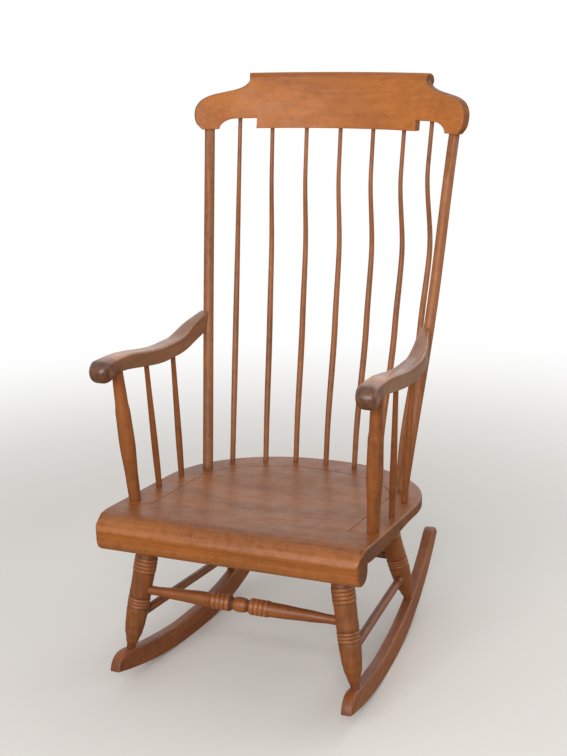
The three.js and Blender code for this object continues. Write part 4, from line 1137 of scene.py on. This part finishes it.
def side_faces(points, start, first, last, end, hub):
    """Closes a side of the arm: a fan over the knuckle, then a zip between the top and the underside."""
    faces = [(index, index + 1, hub) for index in range(first, last)]
    upper, lower = list(range(first - 1, start - 1, -1)), list(range(last + 1, end))
    faces.append((hub, last, lower[0], upper[0], first))
    high, low = 0, 0
    while high < len(upper) - 1 or low < len(lower) - 1:
        high_y = points[upper[min(high + 1, len(upper) - 1)]].y
        low_y = points[lower[min(low + 1, len(lower) - 1)]].y
        if low >= len(lower) - 1 or (high < len(upper) - 1 and high_y <= low_y):
            faces.append((upper[high], upper[high + 1], lower[low]))
            high += 1
        else:
            faces.append((lower[low], lower[low + 1], upper[high]))
            low += 1
    return faces


def make_arm(hand):
    side = HANDS[hand]
    top, curl, under, middle = arm_loop()
    loop = top + curl + under
    shape = lofted(arm_rows(side, loop, len(top) + len(curl)), ends=False)
    share = arm_share(middle.x)
    for way, start in ((-1, 0), (1, len(shape[0]) - len(loop))):
        across = side * (arm_centre(share) + way * arm_half(share))
        hub = add_point(shape, Vector((across, *middle)), ARM_SIDE_WEAR, 0.0)
        first, last = start + len(top), start + len(top) + len(curl) - 1
        shape[1].extend(side_faces(shape[0], start, first, last, start + len(loop), hub))
    add_piece(f"arm_{hand}", shape, "arm_wood")


for hand in HANDS:
    make_arm(hand)
print("pieces:", len(pieces))

# %% [markdown]
# The turned posts under the knuckles swell in the middle and narrow to a neck under the arm. Two slim
# spindles stand behind each. All of them end in the arm's underside, which is the same line that the arm is
# drawn from.

# %% Arm supports
ARM_POST_RADIUS, ARM_SPINDLE_RADIUS = 0.015, 0.0065
ARM_POST_STEPS, ARM_SPINDLE_STEPS, ARM_SUPPORT_SIDES = 64, 40, 28
ARM_POST_KNOTS = [(0, 0.75), (0.16, 0.8), (0.45, 1), (0.67, 0.94), (0.76, 0.8), (1, 0.7)]
ARM_SPINDLE_KNOTS = [(0, 0.9), (0.25, 1), (1, 0.74)]
ARM_POST_PLACE = (0.227, 0.193, 0.913)
ARM_SPINDLE_PLACES = [(0.409, 0.39, 0.919), (0.568, 0.583, 0.902)]


def under_arm(side, place):
    share = arm_share(along_seat(place))
    return Vector((side * arm_centre(share), along_seat(place), arm_underside(share)))


def make_arm_supports(hand):
    side = HANDS[hand]
    rows = [("arm_post", ARM_POST_PLACE, ARM_POST_RADIUS, ARM_POST_KNOTS, ARM_POST_STEPS)]
    for places in ARM_SPINDLE_PLACES:
        rows.append(("arm_spindle", places, ARM_SPINDLE_RADIUS, ARM_SPINDLE_KNOTS, ARM_SPINDLE_STEPS))
    for index, (kind, (foot, top_place, across), radius, knots, steps) in enumerate(rows):
        base = deck_point(side * across * HALF_SEAT, along_seat(foot))
        top = under_arm(side, top_place)
        profile = smooth_profile((top - base).length, radius, knots, steps)
        node = f"{kind}_{hand}" + (f"_{index}" if index else "")
        add_piece(node, turned(base, top, profile, ARM_SUPPORT_SIDES), "turned_wood")


for hand in HANDS:
    make_arm_supports(hand)
print("pieces:", len(pieces))

# %% [markdown]
# The rockers are sawn from a board: a flatter arc in front, a rounder one behind, and a short flat between
# them where the chair rests. They lean a little together towards the back. Their long edges are eased by
# hand.

# %% Rocker lines
ROCKER_RADIUS, ROCKER_REAR_RADIUS = 0.960, 0.584
ROCKER_DEPTH, ROCKER_THICKNESS = 0.047, 0.021
ROCKER_SPACING = 0.418
ROCKER_TURN = radians(4)
FLAT_MIDDLE, FLAT_LENGTH = REST_Y - 0.009, 0.030
FLAT_START = FLAT_MIDDLE - FLAT_LENGTH / 2
FLAT_END = FLAT_START + FLAT_LENGTH
TOE_STEPS, HEEL_STEPS, TIP_STEPS, ROCKER_SLICE = 26, 32, 8, 0.02
ROCKER_TOE = REST_Y - 0.300
ROCKER_HEEL = REST_Y + 0.370
TOE_ROUND, HEEL_ROUND, TIP_FACE = 0.046, 0.030, 0.005
ROCKER_DEPTHS = [(0, 0.8), (0.3, 0.87), (0.6, 1), (0.72, 1), (1, 0.9)]
ROCKER_EDGE = 0.003
ROCKER_FACE_WEAR, ROCKER_RIM_WEAR = 0.05, 0.5
TIP_DARK, TIP_DARK_LENGTH = 0.55, 0.02


def rocker_station(y):
    behind = y > FLAT_MIDDLE
    radius = ROCKER_REAR_RADIUS if behind else ROCKER_RADIUS
    centre = Vector((FLAT_END if behind else FLAT_START, radius))
    lower = Vector((y, radius - sqrt(radius * radius - (y - centre.x) ** 2)))
    inward = (centre - lower).normalized()
    depth = ROCKER_DEPTH * eased(ROCKER_DEPTHS, (y - ROCKER_TOE) / (ROCKER_HEEL - ROCKER_TOE))
    return lower, inward, lower + inward * depth


def rocker_top(y):
    """The height of the rocker's top at a place. Stations lean, so the right one is found in a few tries."""
    station = y
    for _ in range(6):
        station += y - rocker_station(station)[2].x
    return rocker_station(station)[2].y


def quadratic(start, control, end, steps):
    return [start.lerp(control, step / steps).lerp(control.lerp(end, step / steps), step / steps)
            for step in range(steps + 1)]


def rocker_outline():
    lower, upper = [], []
    for start, end, steps in ((ROCKER_TOE, FLAT_START, TOE_STEPS), (FLAT_END, ROCKER_HEEL, HEEL_STEPS)):
        for step in range(steps + 1):
            low, _, high = rocker_station(mix(start, end, step / steps))
            lower.append(low)
            upper.append(high)
    heel_low, heel_in, heel_high = rocker_station(ROCKER_HEEL)
    toe_low, toe_in, toe_high = rocker_station(ROCKER_TOE)
    kept = [spot for spot in upper if ROCKER_TOE + TOE_ROUND < spot.x < heel_high.x - HEEL_ROUND]
    loop = lower + quadratic(heel_low + heel_in * TIP_FACE, heel_high, kept[-1], TIP_STEPS)
    loop += list(reversed(kept[1:-1]))
    loop += quadratic(kept[0], toe_high, toe_low + toe_in * TIP_FACE, TIP_STEPS)
    return [(spot.x, spot.y) for spot in loop]


def make_rocker(hand):
    side = HANDS[hand]
    turn = Matrix.Rotation(side * ROCKER_TURN, 3, "Z")
    board = eased_board(rocker_outline(), ROCKER_THICKNESS, ROCKER_EDGE)
    sliced(board, ROCKER_TOE, ROCKER_HEEL, ROCKER_SLICE)

    def place(co):
        spot = turn @ Vector((co.y, co.x - REST_Y, 0))
        return Vector((spot.x + side * ROCKER_SPACING / 2, spot.y + REST_Y, co.z))

    def tone(co):
        _, worn_and_lit = edge_wear(co, ROCKER_THICKNESS, ROCKER_EDGE, ROCKER_FACE_WEAR, ROCKER_RIM_WEAR)
        from_tip = min(co.x - ROCKER_TOE, ROCKER_HEEL - co.x) / TIP_DARK_LENGTH
        return worn_and_lit, TIP_DARK * min(1, max(0, 1 - from_tip))

    add_piece(f"rocker_{hand}", finish_board(board, place, tone), "rocker_wood")


for hand in HANDS:
    make_rocker(hand)
print("rocker top at the rest flat:", round(rocker_top(REST_Y), 4))

# %% [markdown]
# The legs are where the turner showed off: a tapered foot, three beads low down, four near the top. A bead
# is a half-round between two narrow V-grooves. The grooves hold dark stain, and the crowns of the beads are
# rubbed.

# %% Legs
LEG_RADIUS, RING_GROOVE = 0.021, 0.0019
LEG_FOOT = [(0, 0.4), (0.02, 0.4), (0.07, 0.57), (0.14, 0.8), (0.21, 0.9), (0.32, 0.98)]
LEG_LOW_RINGS, LEG_HIGH_RINGS = (0.335, 0.41, 3, 1.0), (0.612, 0.725, 4, 1.04)
LEG_WAIST = [(0.43, 0.98), (0.5, 0.96), (0.6, 0.98)]
LEG_TOP = [(0.75, 0.95), (0.9, 0.9), (1, 0.85)]
LEG_SIDES, FOOT_STEPS, WAIST_STEPS, TOP_STEPS = 36, 24, 16, 12
BEAD_STEPS, BEAD_SHARE, BEAD_WEAR, BEAD_CLEAN = 8, 0.96, 0.75, 1.5
LEG_WEAR, LEG_DARK, LEG_DARK_REACH = 0.3, 0.6, 0.03


def plain_rows(knots, length, radius, steps):
    rows = []
    first, last = knots[0][0], knots[-1][0]
    for step in range(steps + 1):
        share = mix(first, last, step / steps)
        rows.append((share * length, radius * eased(knots, share), LEG_WEAR, 0.0))
    return rows


def bead_rows(rings, length, radius):
    """Rings of beads side by side. Each bead starts with the ring that the one before it ends with."""
    start, end, count, reach = rings
    crown = radius * reach
    pitch = (end - start) / count
    rows = []
    for bead in range(count):
        for step in range(min(bead, 1), BEAD_STEPS + 1):
            across = 2 * step / BEAD_STEPS - 1
            rise = sqrt(max(0, 1 - (BEAD_SHARE * across) ** 2))
            share = start + (bead + 0.5 + across / 2) * pitch
            here = crown - RING_GROOVE + RING_GROOVE * rise
            rows.append((share * length, here, BEAD_WEAR * rise, max(0, 1 - rise * BEAD_CLEAN)))
    return rows


print("a leg has", LEG_LOW_RINGS[2] + LEG_HIGH_RINGS[2], "beads")

# %% Four legs
LEG_PLACES = {"front": (0.109, 0.167, 0.705), "rear": (0.825, 0.749, 0.577)}


def leg_ends(side, foot_place, top_place, across):
    foot_y, top_y = along_seat(foot_place), along_seat(top_place)
    foot_x = ROCKER_SPACING / 2 - tan(ROCKER_TURN) * (foot_y - REST_Y)
    base = Vector((side * foot_x, foot_y, rocker_top(foot_y)))
    return base, Vector((side * across * HALF_SEAT, top_y, deck_height(top_y) - PLANK))


def make_leg(row, hand):
    base, top = leg_ends(HANDS[hand], *LEG_PLACES[row])
    length = (top - base).length
    profile = [(-TENON, LEG_RADIUS * LEG_FOOT[0][1], 0, 1)]
    profile += [(height, radius, worn_and_lit, max(0, LEG_DARK - height / LEG_DARK_REACH))
                for height, radius, worn_and_lit, _ in plain_rows(LEG_FOOT, length, LEG_RADIUS, FOOT_STEPS)]
    profile += bead_rows(LEG_LOW_RINGS, length, LEG_RADIUS)
    profile += plain_rows(LEG_WAIST, length, LEG_RADIUS, WAIST_STEPS)
    profile += bead_rows(LEG_HIGH_RINGS, length, LEG_RADIUS)
    profile += plain_rows(LEG_TOP, length, LEG_RADIUS, TOP_STEPS)
    profile.append((length + TENON, LEG_RADIUS * LEG_TOP[-1][1], 0, 1))
    # The front legs take the darker finish, a painted shade.
    leg_finish = "shaded_front_leg_wood" if row == "front" else "rear_leg_wood"
    add_piece(f"{row}_leg_{hand}", turned(base, top, profile, LEG_SIDES), leg_finish)


for row in LEG_PLACES:
    for hand in HANDS:
        make_leg(row, hand)
print("pieces:", len(pieces))

# %% [markdown]
# The front stretcher swells towards the middle, where a ball sits between two sets of beads. The rods at
# the sides and the back are plain, with two fine lines scored near each end where the turner marked them
# out. One rod runs between the rear legs too. It is a guess, since the seat hides it.

# %% Stretchers
STRETCHER_RADIUS, ROD_RADIUS = 0.015, 0.0084
STRETCHER_STOP = 0.007
STRETCHER_END = [(0, 0.57), (0.13, 0.57), (0.35, 0.74), (0.62, 0.89), (0.7, 0.92)]
STRETCHER_RINGS = (0.715, 0.9, 4, 1.03)
STRETCHER_NECK, BALL_START = [(0.915, 0.72), (0.935, 0.72)], 0.938
BALL_WAIST, BALL_CROWN = 0.74, 0.93
SCORE_PLACES, SCORE_WIDTH, SCORE_DEPTH = (0.075, 0.092), 0.0011, 0.0007
FRONT_PLACE, SIDE_FRONT, SIDE_REAR, REAR_PLACE = 0.471, 0.25, 0.22, 0.42
END_STEPS, BALL_STEPS, STRETCHER_SIDES, ROD_STEPS, ROD_SIDES = 24, 8, 32, 16, 24
NECK_DARK, BALL_WEAR, SCORE_WEAR, ROD_WEAR = 0.8, (0.2, 0.5), 0.3, 0.35


def between(start_leg, start_share, end_leg, end_share):
    start = start_leg[0].lerp(start_leg[1], start_share)
    end = end_leg[0].lerp(end_leg[1], end_share)
    short = (end - start).normalized() * STRETCHER_STOP
    return start + short, end - short


def mirrored_rows(rows, length):
    """The first half of a stick, and the same again the other way round."""
    return rows + [(length - height, *rest) for height, *rest in reversed(rows[:-1])]


def make_front_stretcher():
    legs = [leg_ends(side, *LEG_PLACES["front"]) for side in (-1, 1)]
    base, top = between(legs[0], FRONT_PLACE, legs[1], FRONT_PLACE)
    half = (top - base).length / 2
    rows = plain_rows(STRETCHER_END, half, STRETCHER_RADIUS, END_STEPS)
    rows += bead_rows(STRETCHER_RINGS, half, STRETCHER_RADIUS)
    rows += [(height, radius, worn_and_lit, NECK_DARK) for height, radius, worn_and_lit, _ in
             plain_rows(STRETCHER_NECK, half, STRETCHER_RADIUS, 2)]
    for step in range(BALL_STEPS + 1):
        turn = pi / 2 * step / BALL_STEPS
        share = mix(BALL_START, 1, 1 - cos(turn))
        radius = STRETCHER_RADIUS * mix(BALL_WAIST, BALL_CROWN, sin(turn))
        rows.append((share * half, radius, BALL_WEAR[0] + BALL_WEAR[1] * sin(turn), 0))
    shape = turned(base, top, mirrored_rows(rows, 2 * half), STRETCHER_SIDES)
    add_piece("front_stretcher", shape, "cross_wood")


def make_rod(node, ends, material):
    base, top = ends
    length = (top - base).length
    rows = [(0, ROD_RADIUS, 0, 1)]
    for place in SCORE_PLACES:
        rows += [(place * length - SCORE_WIDTH, ROD_RADIUS, SCORE_WEAR, 0),
                 (place * length, ROD_RADIUS - SCORE_DEPTH, 0, 1),
                 (place * length + SCORE_WIDTH, ROD_RADIUS, SCORE_WEAR, 0)]
    rows += [(length * step / ROD_STEPS, ROD_RADIUS, ROD_WEAR, 0) for step in range(3, ROD_STEPS // 2 + 1)]
    add_piece(node, turned(base, top, mirrored_rows(rows, length), ROD_SIDES), material)


make_front_stretcher()
for hand in HANDS:
    front, rear = (leg_ends(HANDS[hand], *LEG_PLACES[row]) for row in ("front", "rear"))
    make_rod(f"side_stretcher_{hand}", between(front, SIDE_FRONT, rear, SIDE_REAR), "rod_wood")
rear_legs = [leg_ends(side, *LEG_PLACES["rear"]) for side in (-1, 1)]
make_rod("rear_stretcher", between(rear_legs[0], REAR_PLACE, rear_legs[1], REAR_PLACE), "cross_wood")
print("pieces:", len(pieces))

# %% [markdown]
# The stage is a pale floor and soft light, as in a small studio. Close to the chair the floor is pale and
# keeps its shadow. Further off it fades to plain white, so no horizon shows. In what it throws back on the
# chair it is a browner floor, because light bounced from a white one would wash the stain out from below.

# %% Floor
FLOOR_HALF = 14.0
FLOOR_SEEN = (0.80, 0.77, 0.73, 1)
FLOOR_THROWN = (0.42, 0.35, 0.27, 1)
FLOOR_ROUGHNESS, FLOOR_SPECULAR = 0.9, 0.1
FADE_START, FADE_END = 0.8, 2.6


def floor_finish():
    material = bpy.data.materials.new("studio_floor")
    material.use_nodes = True
    tree = material.node_tree
    to_camera = add_node(tree, "LightPath").outputs["Is Camera Ray"]
    shader = fill(tree, tree.nodes["Principled BSDF"], {
        "Base Color": blend_colour(tree, to_camera, FLOOR_THROWN, FLOOR_SEEN),
        "Roughness": FLOOR_ROUGHNESS, "Specular IOR Level": FLOOR_SPECULAR})
    place = add_node(tree, "TexCoord").outputs["Object"]
    distance = add_node(tree, "VectorMath", {0: place}, operation="LENGTH").outputs["Value"]
    fade = maths(tree, "MULTIPLY", spread(tree, distance, FADE_START, FADE_END), to_camera)
    white = add_node(tree, "Emission", {"Color": WHITE, "Strength": 1.0}).outputs["Emission"]
    both = add_node(tree, "MixShader", {"Fac": fade, 1: shader.outputs["BSDF"], 2: white})
    fill(tree, tree.nodes["Material Output"], {"Surface": both.outputs["Shader"]})
    return material


mesh = bpy.data.meshes.new("studio_floor")
corners = [(x * FLOOR_HALF, y * FLOOR_HALF, 0) for x, y in ((-1, -1), (1, -1), (1, 1), (-1, 1))]
mesh.from_pydata(corners, [], [(0, 1, 2, 3)])
mesh.materials.append(floor_finish())
floor = bpy.data.objects.new("studio_floor", mesh)
bpy.context.scene.collection.objects.link(floor)
print("floor:", 2 * FLOOR_HALF, "m across")

# %% [markdown]
# A large lamp above and in front of the chair gives the long soft highlights, a weaker one lights the back,
# and a third from behind the sitter's left shoulder picks out the far sides. The world lights the rest. To
# the camera and in reflections the world is plain white, so the light that falls on the wood and the white
# behind it can be set apart.

# %% Lamps and world
WORLD_LIGHT = 0.45
LAMPS = {  # place, aim, size, watts
    "key_lamp": ((0.4, -3.2, 1.65), (0, 0, 0.55), (2.6, 1.8), 106),
    "back_lamp": ((0.6, 2.6, 2.9), (0, 0, 0.5), (2.4, 1.6), 24),
    "side_lamp": ((2.4, 1.2, 1.0), (0, 0, 0.5), (1.6, 1.6), 15),
}


def add_lamp(name, place, aim, size, power):
    data = bpy.data.lights.new(name, "AREA")
    data.shape = "RECTANGLE"
    data.size, data.size_y = size
    data.energy = power
    lamp = bpy.data.objects.new(name, data)
    bpy.context.scene.collection.objects.link(lamp)
    lamp.location = place
    lamp.rotation_euler = (Vector(aim) - Vector(place)).to_track_quat("-Z", "Y").to_euler()


for name, row in LAMPS.items():
    add_lamp(name, *row)

world = bpy.data.worlds.new("studio")
world.use_nodes = True
bpy.context.scene.world = world
tree = world.node_tree
tree.nodes.clear()
rays = add_node(tree, "LightPath").outputs
direct = maths(tree, "MAXIMUM", rays["Is Camera Ray"], rays["Is Glossy Ray"])
direct = maths(tree, "MAXIMUM", direct, rays["Is Transmission Ray"])
soft = add_node(tree, "Background", {"Color": WHITE, "Strength": WORLD_LIGHT}).outputs["Background"]
plain = add_node(tree, "Background", {"Color": WHITE, "Strength": 1.0}).outputs["Background"]
choice = add_node(tree, "MixShader", {"Fac": direct, 1: soft, 2: plain})
add_node(tree, "OutputWorld", {"Surface": choice.outputs["Shader"]})
bpy.context.scene.view_settings.view_transform = "Standard"
print("world and lamps set")
